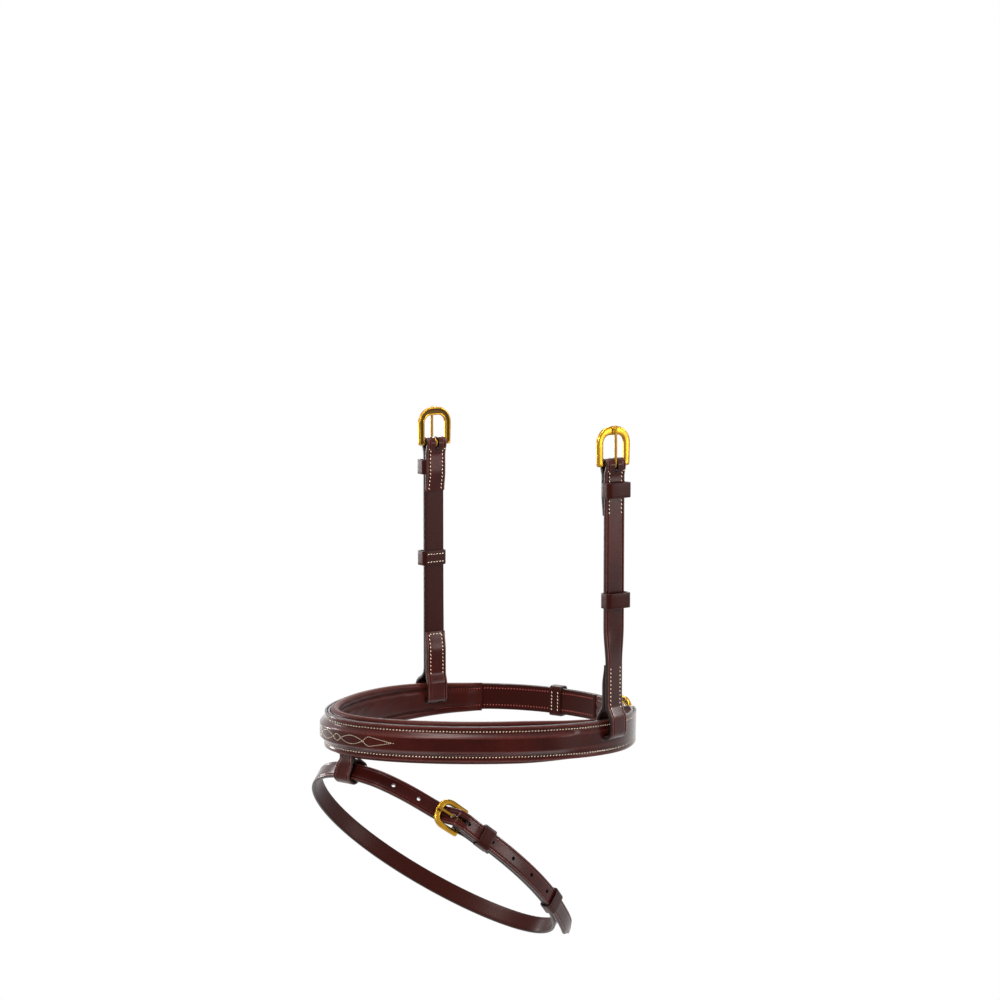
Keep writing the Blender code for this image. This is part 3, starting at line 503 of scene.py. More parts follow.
def grain_group():
    """Hair-cell grain of finished leather: height of the cells and a mask of the pores."""
    group, start, end = new_group(
        "leather_grain",
        [("Vector", "NodeSocketVector", None), ("Cells per metre", "NodeSocketFloat", 900.0)],
        [("Height", "NodeSocketFloat"), ("Pores", "NodeSocketFloat")],
    )
    cells = texture(group, start, "ShaderNodeTexVoronoi", feature="SMOOTH_F1")
    cells.inputs["Smoothness"].default_value = 0.35
    drift = texture(group, start, "ShaderNodeTexNoise", {"Scale": 260.0, "Detail": 3.0})
    join(group, start.outputs["Cells per metre"], cells.inputs["Scale"])
    height = maths(group, "MULTIPLY", cells.outputs["Distance"], -0.55)
    height = maths(group, "ADD", height, drift.outputs["Fac"])
    pores = between(group, cells.outputs["Distance"], 0.45, 0.75)
    join(group, height, end.inputs["Height"])
    join(group, pores, end.inputs["Pores"])
    return group


def dye_group():
    """Dye that pools darker, turns lighter for wear and painted highlights, and darker for
    painted shade: colour and roughness over the surface.
    """
    group, start, end = new_group(
        "leather_dye",
        [
            ("Vector", "NodeSocketVector", None),
            ("Dye", "NodeSocketColor", None),
            ("Deep", "NodeSocketColor", None),
            ("Rubbed", "NodeSocketColor", None),
            ("Rub", "NodeSocketFloat", 0.0),
            ("Pores", "NodeSocketFloat", 0.0),
            ("Gloss roughness", "NodeSocketFloat", 0.3),
        ],
        [("Color", "NodeSocketColor"), ("Roughness", "NodeSocketFloat")],
    )
    broad = texture(group, start, "ShaderNodeTexNoise", {"Scale": 38.0, "Detail": 4.0})
    fine = texture(group, start, "ShaderNodeTexNoise",
                   {"Scale": 420.0, "Detail": 5.0, "Roughness": 0.6})
    pooled = maths(group, "MULTIPLY", between(group, broad.outputs["Fac"], 0.38, 0.66), 0.6)
    base = blend_colour(group, pooled, start.outputs["Dye"], start.outputs["Deep"])
    pored = maths(group, "MULTIPLY", start.outputs["Pores"], 0.45)
    base = blend_colour(group, pored, base, start.outputs["Deep"])
    # Lighter where the value is above 0: edge wear, and painted highlights on crease lips, roll
    # crests and raise shoulders
    worn_and_lit = maths(group, "MULTIPLY", start.outputs["Rub"], fine.outputs["Fac"])
    base = blend_colour(group, worn_and_lit, base, start.outputs["Rubbed"])
    # Darker where the value is below 0: painted shade down in the crease grooves
    sunk = maths(group, "MULTIPLY", start.outputs["Rub"], -1.0)
    base = blend_colour(group, sunk, base, start.outputs["Deep"])
    rough = maths(group, "MULTIPLY", fine.outputs["Fac"], 0.16)
    rough = maths(group, "ADD", rough, start.outputs["Gloss roughness"])
    rough = maths(group, "ADD", rough, maths(group, "MULTIPLY", pored, 0.2))
    join(group, base, end.inputs["Color"])
    join(group, rough, end.inputs["Roughness"])
    return group


def nap_group():
    """Fine fibres of a flesh side or of spun thread: height and light or dark tips."""
    group, start, end = new_group(
        "fibre_nap",
        [("Vector", "NodeSocketVector", None), ("Fibres per metre", "NodeSocketFloat", 1500.0)],
        [("Height", "NodeSocketFloat"), ("Tips", "NodeSocketFloat")],
    )
    fibres = texture(group, start, "ShaderNodeTexNoise", {"Detail": 6.0, "Roughness": 0.7})
    join(group, start.outputs["Fibres per metre"], fibres.inputs["Scale"])
    join(group, fibres.outputs["Fac"], end.inputs["Height"])
    join(group, between(group, fibres.outputs["Fac"], 0.35, 0.7), end.inputs["Tips"])
    return group


def polish_group():
    """Polishing marks and faint tarnish of cast brass."""
    group, start, end = new_group(
        "brass_polish",
        [
            ("Vector", "NodeSocketVector", None),
            ("Bright", "NodeSocketColor", None),
            ("Tarnish", "NodeSocketColor", None),
            ("Rub", "NodeSocketFloat", 0.0),
        ],
        [
            ("Color", "NodeSocketColor"),
            ("Roughness", "NodeSocketFloat"),
            ("Height", "NodeSocketFloat"),
        ],
    )
    cloud = texture(group, start, "ShaderNodeTexNoise", {"Scale": 160.0, "Detail": 3.0})
    marks = texture(group, start, "ShaderNodeTexNoise", {"Scale": 900.0, "Detail": 2.0})
    sunk = maths(group, "SUBTRACT", 1.0, start.outputs["Rub"])
    dull = maths(group, "MULTIPLY", between(group, cloud.outputs["Fac"], 0.42, 0.72), 0.3)
    dull = maths(group, "MAXIMUM", dull, sunk)
    colour = blend_colour(group, dull, start.outputs["Bright"], start.outputs["Tarnish"])
    rough = maths(group, "MULTIPLY", dull, 0.25)
    rough = maths(group, "ADD", rough, 0.24)
    join(group, colour, end.inputs["Color"])
    join(group, rough, end.inputs["Roughness"])
    join(group, marks.outputs["Fac"], end.inputs["Height"])
    return group


GRAIN, DYE, NAP, POLISH = grain_group(), dye_group(), nap_group(), polish_group()


def new_material(name, **settings):
    """A material with its Principled shader set, and its object coordinates."""
    made = bpy.data.materials.new(name)
    made.use_nodes = True
    tree = made.node_tree
    shader = tree.nodes["Principled BSDF"]
    for key, value in settings.items():
        shader.inputs[key.replace("_", " ")].default_value = value
    where = tree.nodes.new("ShaderNodeTexCoord").outputs["Object"]
    return made, tree, shader, where


def place_group(tree, group, where, **inputs):
    made = node(tree, "ShaderNodeGroup", node_tree=group)
    join(tree, where, made.inputs["Vector"])
    for key, value in inputs.items():
        socket = made.inputs[key.replace("_", " ")]
        if isinstance(value, bpy.types.NodeSocket):
            join(tree, value, socket)
        elif isinstance(value, (list, tuple)):
            socket.default_value = (*value, 1)
        else:
            socket.default_value = value
    return made


def bump(tree, shader, height, strength, depth):
    made = node(tree, "ShaderNodeBump", {"Strength": strength, "Distance": depth})
    join(tree, height, made.inputs["Height"])
    join(tree, made.outputs["Normal"], shader.inputs["Normal"])


# Per-point value: on leather, above 0 for edge wear and painted highlights and below 0 for
# painted shade; on brass, 1 where polished and 0 where tarnished
def read_wear_and_light(tree):
    return node(tree, "ShaderNodeAttribute", attribute_name="wear_and_light").outputs["Fac"]


def waxed(tree, shader, most, dull):
    """A waxy gloss that shows most where the leather turns away from the eye."""
    turned = tree.nodes.new("ShaderNodeLayerWeight").outputs["Facing"]
    join(tree, maths(tree, "MULTIPLY", turned, most), shader.inputs["Coat Weight"])
    shader.inputs["Coat Roughness"].default_value = dull


def leather_material(
    name, dye, deep, worn_and_lit, gloss, wax, dull=0.22, cells=900.0, depth=0.05, **settings
):
    """Finished grain side: dyed, waxed, worn lighter at edges, with painted highlights and
    painted shade.
    """
    made, tree, shader, where = new_material(name, **settings)
    grain = place_group(tree, GRAIN, where, Cells_per_metre=cells)
    colour = place_group(
        tree, DYE, where, Dye=paint(dye), Deep=paint(deep), Rubbed=paint(worn_and_lit),
        Rub=read_wear_and_light(tree), Pores=grain.outputs["Pores"], Gloss_roughness=gloss,
    )
    join(tree, colour.outputs["Color"], shader.inputs["Base Color"])
    join(tree, colour.outputs["Roughness"], shader.inputs["Roughness"])
    bump(tree, shader, grain.outputs["Height"], 0.5, depth * MM)
    waxed(tree, shader, wax, dull)
    return made


def fibre_material(name, light, dark, fibres, depth, wax=0.0, dull=0.30, **settings):
    """Flesh side, thread or foam: fine fibres, light tips over a darker ground."""
    made, tree, shader, where = new_material(name, **settings)
    nap = place_group(tree, NAP, where, Fibres_per_metre=fibres)
    colour = blend_colour(tree, nap.outputs["Tips"], paint(dark), paint(light))
    join(tree, colour, shader.inputs["Base Color"])
    bump(tree, shader, nap.outputs["Height"], 0.6, depth * MM)
    if wax:
        waxed(tree, shader, wax, dull)
    return made


def brass_material(name):
    made, tree, shader, where = new_material(
        name, Metallic=1.0, Coat_Weight=0.15, Coat_Roughness=0.35
    )
    polish = place_group(
        tree, POLISH, where, Bright=paint("ae8120"), Tarnish=paint("463008"), Rub=read_wear_and_light(tree)
    )
    join(tree, polish.outputs["Color"], shader.inputs["Base Color"])
    join(tree, polish.outputs["Roughness"], shader.inputs["Roughness"])
    bump(tree, shader, polish.outputs["Height"], 0.04, 0.01 * MM)
    return made


TINT = (*paint("ffc8bc"), 1)
# Each leather's second colour is its darker tone, for pooled dye, pores and painted shade in
# creases; its third is its lighter tone, for wear and painted highlights
BRIDLE = leather_material(
    "bridle_leather", "380f0b", "1a0504", "74403a", 0.16, wax=1.05,
    Specular_IOR_Level=0.08, Specular_Tint=TINT,
)
PAINTED = leather_material(
    "painted_edge", "170a08", "0a0403", "4a3834", 0.34, wax=0.9, dull=0.38,
    cells=2600.0, depth=0.03, Specular_IOR_Level=0.16,
)
SOFT = leather_material(
    "lining_leather", "38110d", "230a07", "6c3a30", 0.30, wax=0.35, dull=0.34,
    cells=1300.0, depth=0.06, Specular_IOR_Level=0.05, Specular_Tint=TINT,
)
FLESH = fibre_material(
    "flesh_side", "340f0b", "1f0906", 2200.0, 0.05, wax=0.7, Roughness=0.42,
    Specular_IOR_Level=0.05, Specular_Tint=TINT,
)
CREAM = fibre_material("cream_thread", "f8ecd4", "d9c7a4", 5200.0, 0.04, Roughness=0.6)
GARNET = fibre_material("garnet_thread", "a8443b", "6d2a23", 5200.0, 0.04, Roughness=0.6)
DARK = fibre_material("dark_thread", "3a120e", "160605", 5200.0, 0.04, Roughness=0.55)
FOAM = fibre_material("filler_foam", "cfc6b4", "a79d8a", 3000.0, 0.1, Roughness=0.9)
BRASS = brass_material("solid_brass")
STRAP_FINISH = (BRIDLE, PAINTED, FLESH)
LINED_FINISH = (SOFT, PAINTED, SOFT)


# Meshes
def new_object(name, data):
    """An object in the scene for a mesh, a lamp or the camera."""
    made = bpy.data.objects.new(name, data)
    bpy.context.scene.collection.objects.link(made)
    return made


def add_piece(name, verts, faces, zones, finishes, wear_and_light=None, smooth=SMOOTH):
    """A mesh piece with its materials, a value of wear and painted light at each point, and
    smooth shading.
    """
    mesh = bpy.data.meshes.new(name)
    mesh.from_pydata([tuple(v) for v in verts], [], faces)
    for finish in finishes:
        mesh.materials.append(finish)
    mesh.polygons.foreach_set("material_index", zones)
    if wear_and_light:
        layer = mesh.attributes.new("wear_and_light", "FLOAT", "POINT")
        layer.data.foreach_set("value", wear_and_light)
    bm = bmesh.new()
    bm.from_mesh(mesh)
    bmesh.ops.recalc_face_normals(bm, faces=bm.faces)
    bm.to_mesh(mesh)
    bm.free()
    shade(mesh, smooth)
    return new_object(name, mesh)


def shade(mesh, smooth):
    mesh.shade_smooth()
    mesh.set_sharp_from_angle(angle=math.radians(smooth))


def sweep(name, stations, shape, finishes, closed=False, smooth=SMOOTH):
    """Leather of a section along stations of (centre, across, place)."""
    count = len(stations)
    rings, zones_round, wear_and_light_round = [], None, None
    for number, (centre, across, at) in enumerate(stations):
        before = stations[number - 1][0] if number or closed else centre
        after = stations[(number + 1) % count][0] if number < count - 1 or closed else centre
        outward = (after - before).cross(across).normalized()
        section = shape(at)
        rings.append([centre + across * u + outward * v for u, v, zone, wear_and_light in section])
        zones_round = [zone for u, v, zone, wear_and_light in section]
        wear_and_light_round = [wear_and_light for u, v, zone, wear_and_light in section]
    if not closed:
        rings = [rounded_end(rings[0], rings[1])] + rings
        rings.append(rounded_end(rings[-1], rings[-2]))
    return loft(name, rings, zones_round, wear_and_light_round, finishes, closed, smooth)


def rounded_end(ring, inner, reach=0.35 * MM):
    """A slightly smaller ring just past a strap's end, which rounds its cut edge."""
    middle = sum(ring, Vector()) / len(ring)
    past = (middle - sum(inner, Vector()) / len(inner)).normalized() * reach
    found = []
    for point in ring:
        arm = point - middle
        found.append(point + past - arm.normalized() * min(reach, arm.length * 0.5))
    return found


def loft(name, rings, zones_round, wear_and_light_round, finishes, closed=False, smooth=SMOOTH):
    around = len(rings[0])
    verts = [point for ring in rings for point in ring]
    faces, zones = [], []
    spans = len(rings) if closed else len(rings) - 1
    for i in range(spans):
        here, there = i * around, (i + 1) % len(rings) * around
        for j in range(around):
            k = (j + 1) % around
            faces.append((here + j, here + k, there + k, there + j))
            zones.append(zones_round[j])
    if not closed:
        faces.append(tuple(range(around)))
        faces.append(tuple(range(len(verts) - around, len(verts))))
        zones += [EDGE, EDGE]
    wear_and_light = [value for ring in rings for value in wear_and_light_round]
    return add_piece(name, verts, faces, zones, finishes, wear_and_light, smooth)


def mirrored(right, low):
    """A closed section from its right half, read from top centre to bottom centre."""
    ring = list(right) + [(0.0, low, BACK, 0.0)]
    previous = [right[0][2]] + [zone for u, v, zone, wear_and_light in right[:-1]]
    for (u, v, zone, wear_and_light), before in reversed(list(zip(right, previous))[1:]):
        ring.append((-u, v, before, wear_and_light))
    return ring


def edge_points(half, top, low, thick):
    """Rounded and painted edge of a leather, from its top face to its underside."""
    high_round, low_round = 0.42 * thick, 0.30 * thick
    found = []
    for step in range(6):
        turn = math.radians(90 - 18 * step)
        u = half - high_round + high_round * math.cos(turn)
        v = top - high_round + high_round * math.sin(turn)
        found.append((u, v, EDGE if step > 1 else FACE, 0.75 - 0.12 * step))
    for step in range(5):
        turn = math.radians(-22.5 * step)
        u = half - low_round + low_round * math.cos(turn)
        v = low + low_round + low_round * math.sin(turn)
        found.append((u, v, EDGE if step < 3 else BACK, 0.2))
    return found


# Places across a crease in steps of its width, and how deep it is there: raised lips below 0
CREASE_CUT = (
    (-2.6, -0.12), (-1.3, 0.1), (-0.6, 0.75), (0, 1), (0.6, 0.75), (1.3, 0.1), (2.6, -0.12)
)


def strap_section(half, thick, inset=CREASE_INSET, depth=CREASE_DEPTH, crown=CROWN,
                  step_width=CREASE_STEP):
    """A strap with a crease line pressed in along both edges of its grain side."""
    top = thick / 2
    line = half - min(inset, 0.45 * half)
    right = [
        (0.0, top + crown, FACE, 0.0),
        (line * 0.5, top + crown * 0.9, FACE, 0.0),
        (line * 0.8, top + crown * 0.6, FACE, 0.05),
    ]
    for step, sink in CREASE_CUT:
        # Colour across the crease: a painted highlight on its raised lips, and painted shade down
        # in its groove
        wear_and_light = 0.6 if sink < 0 else -sink
        right.append((line + step * step_width, top - sink * depth, FACE, wear_and_light))
    right += edge_points(half, top, -top, thick)
    right.append((half * 0.5, -top, BACK, 0.0))
    return mirrored(right, -top)


def carve(piece, *cutters, smooth=SMOOTH):
    """Cuts solids out of a piece for good."""
    for cutter in cutters:
        tool = piece.modifiers.new("cut", "BOOLEAN")
        tool.object = cutter
    bpy.context.view_layer.update()
    graph = bpy.context.evaluated_depsgraph_get()
    mesh = bpy.data.meshes.new_from_object(piece.evaluated_get(graph))
    piece.modifiers.clear()
    piece.data = mesh
    shade(mesh, smooth)
    for cutter in cutters:
        bpy.data.objects.remove(cutter)


def cutter_mesh(bm):
    mesh = bpy.data.meshes.new("cutter")
    for face in bm.faces:
        face.material_index = EDGE
    bm.to_mesh(mesh)
    bm.free()
    for finish in STRAP_FINISH:
        mesh.materials.append(finish)
    made = new_object("cutter", mesh)
    made.hide_render = True
    return made


def slot_cutter(width, length, depth, matrix):
    """A round-ended slot: its length lies along x, it cuts through along z."""
    bm = bmesh.new()
    bmesh.ops.create_cone(
        bm, cap_ends=True, segments=28, radius1=width / 2, radius2=width / 2, depth=depth
    )
    bmesh.ops.rotate(bm, verts=bm.verts, matrix=Matrix.Rotation(math.pi / 28, 3, "Z"))
    stretch = (length - width) / 2
    for vertex in bm.verts:
        vertex.co.x += stretch if vertex.co.x > 0 else -stretch
    bm.transform(matrix)
    return cutter_mesh(bm)


def box_cutter(size, matrix):
    bm = bmesh.new()
    bmesh.ops.create_cube(bm, size=1)
    bmesh.ops.scale(bm, verts=bm.verts, vec=size)
    bm.transform(matrix)
    return cutter_mesh(bm)


def settle(piece, body, slot, *nodes):
    """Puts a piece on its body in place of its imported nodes."""
    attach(piece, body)
    if nodes:
        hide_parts(*nodes)
    return piece


# Stitches
STITCH_RINGS = (
    (-1.0, 0.12), (-0.78, 0.62), (-0.35, 0.95), (0.35, 0.95), (0.78, 0.62), (1.0, 0.12)
)


def sew(name, ground, marks, body, thread=CREAM, pitch=PITCH, wide=STITCH_WIDTH,
        slant=STITCH_SLANT):
    """Stitches dropped on a surface: marks are (point above it, way down, way along)."""
    tree = BVHTree.FromObject(ground, bpy.context.evaluated_depsgraph_get())
    verts, faces = [], []
    for number, (point, down, along) in enumerate(marks):
        hit, normal = tree.ray_cast(point, down, NEEDLE_REACH)[:2]
        if hit is None:
            continue
        if normal.dot(down) > 0:
            normal = -normal
        ahead = (along - normal * along.dot(normal)).normalized()
        side = normal.cross(ahead)
        wander = 0.06 * math.sin(number * 2.4)
        ahead = (ahead + side * (slant + wander)).normalized()
        side = normal.cross(ahead)
        half, thick = pitch * STITCH_HALF_SHARE, wide / 2
        start = len(verts)
        for reach, girth in STITCH_RINGS:
            middle = hit + ahead * (reach * half) + normal * (thick * (0.75 * girth - 0.45))
            for step in range(STITCH_SIDES):
                turn = math.pi * step / (STITCH_SIDES / 2)
                arm = side * math.cos(turn) + normal * (0.8 * math.sin(turn))
                verts.append(middle + arm * (thick * girth))
        last = len(verts) - STITCH_SIDES
        for first in range(start, last, STITCH_SIDES):
            for step in range(STITCH_SIDES):
                low, beside = first + step, first + (step + 1) % STITCH_SIDES
                faces.append((low, beside, beside + STITCH_SIDES, low + STITCH_SIDES))
        faces.append(tuple(range(start, start + STITCH_SIDES)))
        faces.append(tuple(range(last, last + STITCH_SIDES)))
    made = add_piece(name, verts, faces, [0] * len(faces), (thread,), smooth=70)
    settle(made, body, "leather")


def band_marks(start, end, up, side=1):
    """Marks along the noseband at a height given along it. Side -1 is the inner face."""
    marks = []
    count = max(1, round((end - start) / PITCH))
    for step in range(count + 1):
        at = start + (end - start) * step / count
        outward = BAND.outward(at) * side
        above = BAND.place(at, 0, up(at)) + outward * NEEDLE_START * MM
        marks.append((above, -outward, BAND.tangent(at)))
    return marks


# Noseband shape
def face_half(at):
    """Half height of the outer leather along the band."""
    table = (
        (OFF_BAR, BILLET_WIDTH / 2),
        (OFF_BAR + REAR_CHAPE, JAW_HEIGHT / 2),
        (-OFF_NARROW_END, JAW_HEIGHT / 2),
        (-OFF_NARROW_START, BAND_HEIGHT / 2),
        (NEAR_SLOT + CHEEK_WIDTH / 2, BAND_HEIGHT / 2),
        (FACE_NEAR_END, CORNER_HEIGHT / 2),
    )
    return read_table(table, at)


def backing_half(at):
    """Half height of the main strap: as the face, then the billet and its tip."""
    if at <= FACE_NEAR_END:
        return face_half(at)
    tip = REAR_BAR + REAR_TAIL
    table = (
        (FACE_NEAR_END, CORNER_HEIGHT / 2),
        (FACE_NEAR_END + PADDING_RUNOUT, BILLET_WIDTH / 2),
        (tip - BILLET_WIDTH * 0.6, BILLET_WIDTH / 2),
        (tip, BILLET_WIDTH / 5),
    )
    return read_table(table, at)


def raise_share(at):
    return ease((RAISE_END - abs(at)) / RAISE_RUNOUT)


def dome(at, up):
    """Height that the face stands up over the raise: a flat top and even shoulders."""
    down = min(max((abs(up) - RAISE_TOP_WIDTH / 2) / RAISE_SHOULDER, 0.0), 1.0)
    down = 0.35 * ease(down) + 0.65 * down
    return RAISE_HEIGHT * raise_share(at) * (1 - down)


def face_section(at):
    """Outer leather: domed over its filler, with a sewing channel near each edge."""
    half = face_half(at)
    inner = half - FACE_RIM
    channel = half - STITCH_INSET
    shares = (0, 0.2, 0.4, 0.5, 0.56, 0.62, 0.68, 0.74, 0.80, 0.86, 0.92, 1.0)
    # The third value is a painted highlight over the raise's shoulders; it also lightens the
    # sewing channels and the border a little
    tops = [(share * inner, 0.0, 0.25 if 0.5 < share < 0.75 else 0.0) for share in shares]
    for step, sink in ((-1, 0), (-0.5, 0.6), (0, 1), (0.5, 0.6), (1, 0)):
        tops.append((channel + step * ROW_CHANNEL_STEP, sink * ROW_CHANNEL_DEPTH, 0.1))
    tops.append((half - FACE_BORDER, 0.0, 0.1))
    top, right = FACE_LEATHER / 2, []
    for up, sink, wear_and_light in tops:
        right.append((up, top + dome(at, up) - sink, FACE, wear_and_light))
    right += edge_points(half, top, -top, FACE_LEATHER)
    for share in (1.0, 0.86, 0.74, 0.62, 0.5, 0.3):
        right.append((share * inner, dome(at, share * inner) - top, BACK, 0.0))
    return mirrored(right, dome(at, 0) - top)


def padding_share(at):
    """How full the padding is: 1 along its length, thin at its two ends."""
    to_end = min(PADDING_NEAR_END - at, at + PADDING_OFF_END)
    return PADDING_END_SHARE + (1 - PADDING_END_SHARE) * ease(to_end / PADDING_RUNOUT)


def padding_half(at):
    """Full height in front, brought in gently to the leather's own height at both ends."""
    near = ease((PADDING_NEAR_END - at) / PADDING_NEAR_TAPER)
    off = ease((at + PADDING_OFF_END) / PADDING_OFF_TAPER)
    narrow = face_half(at) + PADDING_END_LIP
    return narrow + (PADDING_HEIGHT / 2 - narrow) * min(near, off)


def padding_row(at):
    return (BAND_HEIGHT / 2 - STITCH_INSET) * padding_half(at) / (PADDING_HEIGHT / 2)


def padding_inner(at, up):
    """Inner face of the padding: a crown between two sewn channels, and two rolls."""
    row = padding_row(at)
    off = abs(abs(up) - row)
    dip = PADDING_DIP * (1 - (ease(off / CHANNEL_WIDE) + ease(off / CHANNEL_TIGHT)) / 2)
    crown = PADDING_CROWN * max(0.0, 1 - (up / row) ** 2)
    soft = SOFT_WAVE * (math.sin(at / LONG_WAVE) + math.sin(at / SHORT_WAVE + up / MM))
    return PADDING_LEVEL - (PADDING_DEPTH - dip + crown + soft) * padding_share(at)


def padding_ring(at):
    """Closed section of the lined padding, as (up, out, zone, and a value of wear and painted
    light).
    """
    half = padding_half(at)
    depth = PADDING_DEPTH * padding_share(at)
    roll = depth / 2
    centre_up = half - roll
    row = padding_row(at)
    right = [(0.0, PADDING_LEVEL, FACE, 0.0), (centre_up * 0.5, PADDING_LEVEL, FACE, 0.0)]
    for step in range(11):
        turn = math.pi * step / 10
        up = centre_up + roll * math.sin(turn)
        out = PADDING_LEVEL - roll + roll * math.cos(turn)
        if step == 10:
            out = padding_inner(at, up)
        # A painted highlight along the crest of each roll
        right.append((up, out, FACE, 0.5 * math.sin(turn) ** 2))
    span = centre_up - row
    ups = [row + span * share for share in (0.75, 0.5, 0.3, 0.15)] + [row]
    ups += [row - step * MM for step in (0.4, 0.9, 1.7, 2.6)] + [row * 0.5, row * 0.25]
    right += [(up, padding_inner(at, up), FACE, 0.0) for up in ups]
    return mirrored(right, padding_inner(at, 0))


# Shapes shared by the buckled straps
def level_run(start, end, level):
    """Points a step apart along a straight run of a centre line."""
    count = round((end - start) / STEP)
    return [Vector((start + (end - start) * step / count, level)) for step in range(count + 1)]


def chape(thickness, tail):
    """Centre line of a strap's end folded round a bar, from its tail's end to the strap."""
    level = (thickness + LAYER_GAP) / 2
    radius = BAR_REACH + LAYER_GAP + thickness / 2
    upper = []
    for step in range(13):
        turn = math.radians(CHAPE_WRAP * step / 12)
        upper.append(Vector((radius * math.cos(turn), radius * math.sin(turn))))
    start = upper[-1]
    for step in range(1, 8):
        share = step / 7
        drop = start.y + (level - start.y) * ease(share)
        upper.append(Vector((start.x - CHAPE_RUN * share, drop)))
    lower = [Vector((point.x, -point.y)) for point in reversed(upper[1:])]
    return [Vector((-tail, -level)), *lower, *upper]


def billet_path(thickness, chape_leather, start_level, tail, dip=BILLET_DIP_START,
                sweep_radius=BILLET_SWEEP):
    """Centre line of a billet: under the front of the frame, over the bar, back on top."""
    under = -(BUCKLE_METAL / 2 + LAYER_GAP + thickness / 2)
    over = BAR_REACH + max(chape_leather, TONGUE_WIRE) + 2 * LAYER_GAP + thickness / 2
    level = chape_leather + 1.5 * LAYER_GAP + thickness / 2
    corners = (
        (dip, start_level),
        (BILLET_DIP_END, under),
        (BILLET_RISE_END + over - under, under),
        (BILLET_RISE_END, over),
        (BILLET_TOP_END, over),
        (BILLET_SETTLED, level),
        (-tail, level),
    )
    return fillet(corners, (sweep_radius, BILLET_BEND, BILLET_BEND, BILLET_BEND, BILLET_SWEEP))


def crossing(path):
    """Distance in front of the bar at which the rising billet meets the tongue."""
    for first, second in zip(path, path[1:]):
        if first.y <= TONGUE_LEVEL <= second.y:
            share = (TONGUE_LEVEL - first.y) / (second.y - first.y)
            return first.x + (second.x - first.x) * share


def crew_slot(thickness, matrix):
    """Slot through a folded chape, where the tongue swings."""
    reach = BAR_REACH + LAYER_GAP + TONGUE_WIRE + LAYER_GAP
    front = BAR_REACH + LAYER_GAP + thickness + TONGUE_WIRE
    length = 1.25 * reach + front
    place = matrix @ Matrix.Translation((front - length / 2, 0, 0))
    return slot_cutter(TONGUE_SLOT, length, 6 * reach, place)


def billet_hole(route, path, bar_at, axis):
    """Oblong hole in the rising billet, cut along the tongue that comes through it."""
    matrix = route.frame(bar_at - crossing(path), axis + TONGUE_LEVEL)
    lying = matrix @ Matrix.Rotation(math.pi / 2, 4, "Y")
    return slot_cutter(TONGUE_SLOT, BILLET_HOLE_STRETCH * TONGUE_SLOT, BILLET_HOLE_DEPTH, lying)


def keeper_groove(place, strap_width, length):
    """Room in a folded chape for the fixed keeper that is let in there."""
    depth = KEEPER_LEATHER + 1.5 * LAYER_GAP
    size = (length + 2 * LAYER_GAP, 1.5 * strap_width, depth)
    return box_cutter(size, place @ Matrix.Translation((0, 0, -depth / 2)))


def ray_round(outline, centre, turn):
    """Where a ray from the centre meets a closed outline."""
    way = Vector((math.cos(turn), math.sin(turn)))
    for first, second in zip(outline, outline[1:] + outline[:1]):
        a, b = first - centre, second - centre
        span = b - a
        cross = way.x * span.y - way.y * span.x
        if abs(cross) < 1e-12:
            continue
        reach = (a.x * span.y - a.y * span.x) / cross
        share = (a.x * way.y - a.y * way.x) / cross
        if reach > 0 and -1e-9 <= share <= 1 + 1e-9:
            return centre + way * reach


# Section of a frame: share of the way from its inside to its outside, and height
FRAME_CUT = (
    (0.0, 0.30), (0.04, 0.66), (0.12, 0.92), (0.22, 1.0), (0.5, 1.05), (0.78, 1.0), (0.89, 0.90),
    (0.97, 0.60), (1.0, 0.20), (1.0, -0.40), (0.97, -0.78), (0.91, -0.96), (0.84, -1.0),
    (0.78, -0.90), (0.72, -0.35), (0.5, -0.15), (0.28, -0.35), (0.22, -0.90), (0.16, -1.0),
    (0.09, -0.96), (0.03, -0.78), (0.0, -0.40),
)


def buckle_length(strap_width):
    return strap_width * (BUCKLE_OPENING_SHARE + BUCKLE_FRONT_SHARE) + BUCKLE_METAL / 2


def buckle_frame(side, strap_width, matrix):
    """Cast horseshoe frame: swelled front with a tongue notch, hollowed on its back."""
    inner = strap_width / 2 + BUCKLE_EASE
    outer = inner + BUCKLE_LIMB_SHARE * strap_width
    heel = inner + BUCKLE_HEEL_SHARE * strap_width
    back = BUCKLE_METAL / 2
    opening = back + BUCKLE_OPENING_SHARE * strap_width
    front = buckle_length(strap_width)
    outside = closed_fillet(
        [(-back, -heel), (front, -outer), (front, outer), (-back, heel)],
        [back, BUCKLE_FRONT_ROUND * inner, BUCKLE_FRONT_ROUND * inner, back],
    )
    inside = closed_fillet(
        [(back, -inner), (opening, -inner), (opening, inner), (back, inner)],
        [back / 2, BUCKLE_OPENING_ROUND * inner, BUCKLE_OPENING_ROUND * inner, back / 2],
    )
    centre = Vector((opening * 0.5, 0))
    rings, count = [], 132
    for step in range(count):
        turn = 2 * math.pi * (step + 0.5) / count
        near, far = ray_round(inside, centre, turn), ray_round(outside, centre, turn)
        on_bar = ease((back * 2.2 - near.x) / (back * 1.2)) * ease((inner - abs(near.y)) / MM)
        notch = 0.0
        if near.x > centre.x:
            notch = NOTCH_DEPTH * (1 - ease(abs(near.y) / NOTCH_HALF - 1))
        ring = []
        for share, height in FRAME_CUT:
            flat = near.lerp(far, share)
            z = height
            # The channel in the back runs out where the frame becomes the bar
            if height < 0 and 0.15 < share < 0.85:
                z = height + (-1.0 - height) * on_bar
            z = z * back - (notch if height > 0.5 else 0.0)
            ring.append(matrix @ Vector((flat.x, flat.y, z)))
        rings.append(ring)
    wear_and_light = [0.0 if 0.25 < share < 0.75 and height < 0 else 1.0 for share, height in FRAME_CUT]
    zones = [0] * len(FRAME_CUT)
    made = loft(side + "_buckle_brass", rings, zones, wear_and_light, (BRASS,), closed=True, smooth=50)
    settle(made, side + "_buckle", "brass", side + "_buckle_frame")


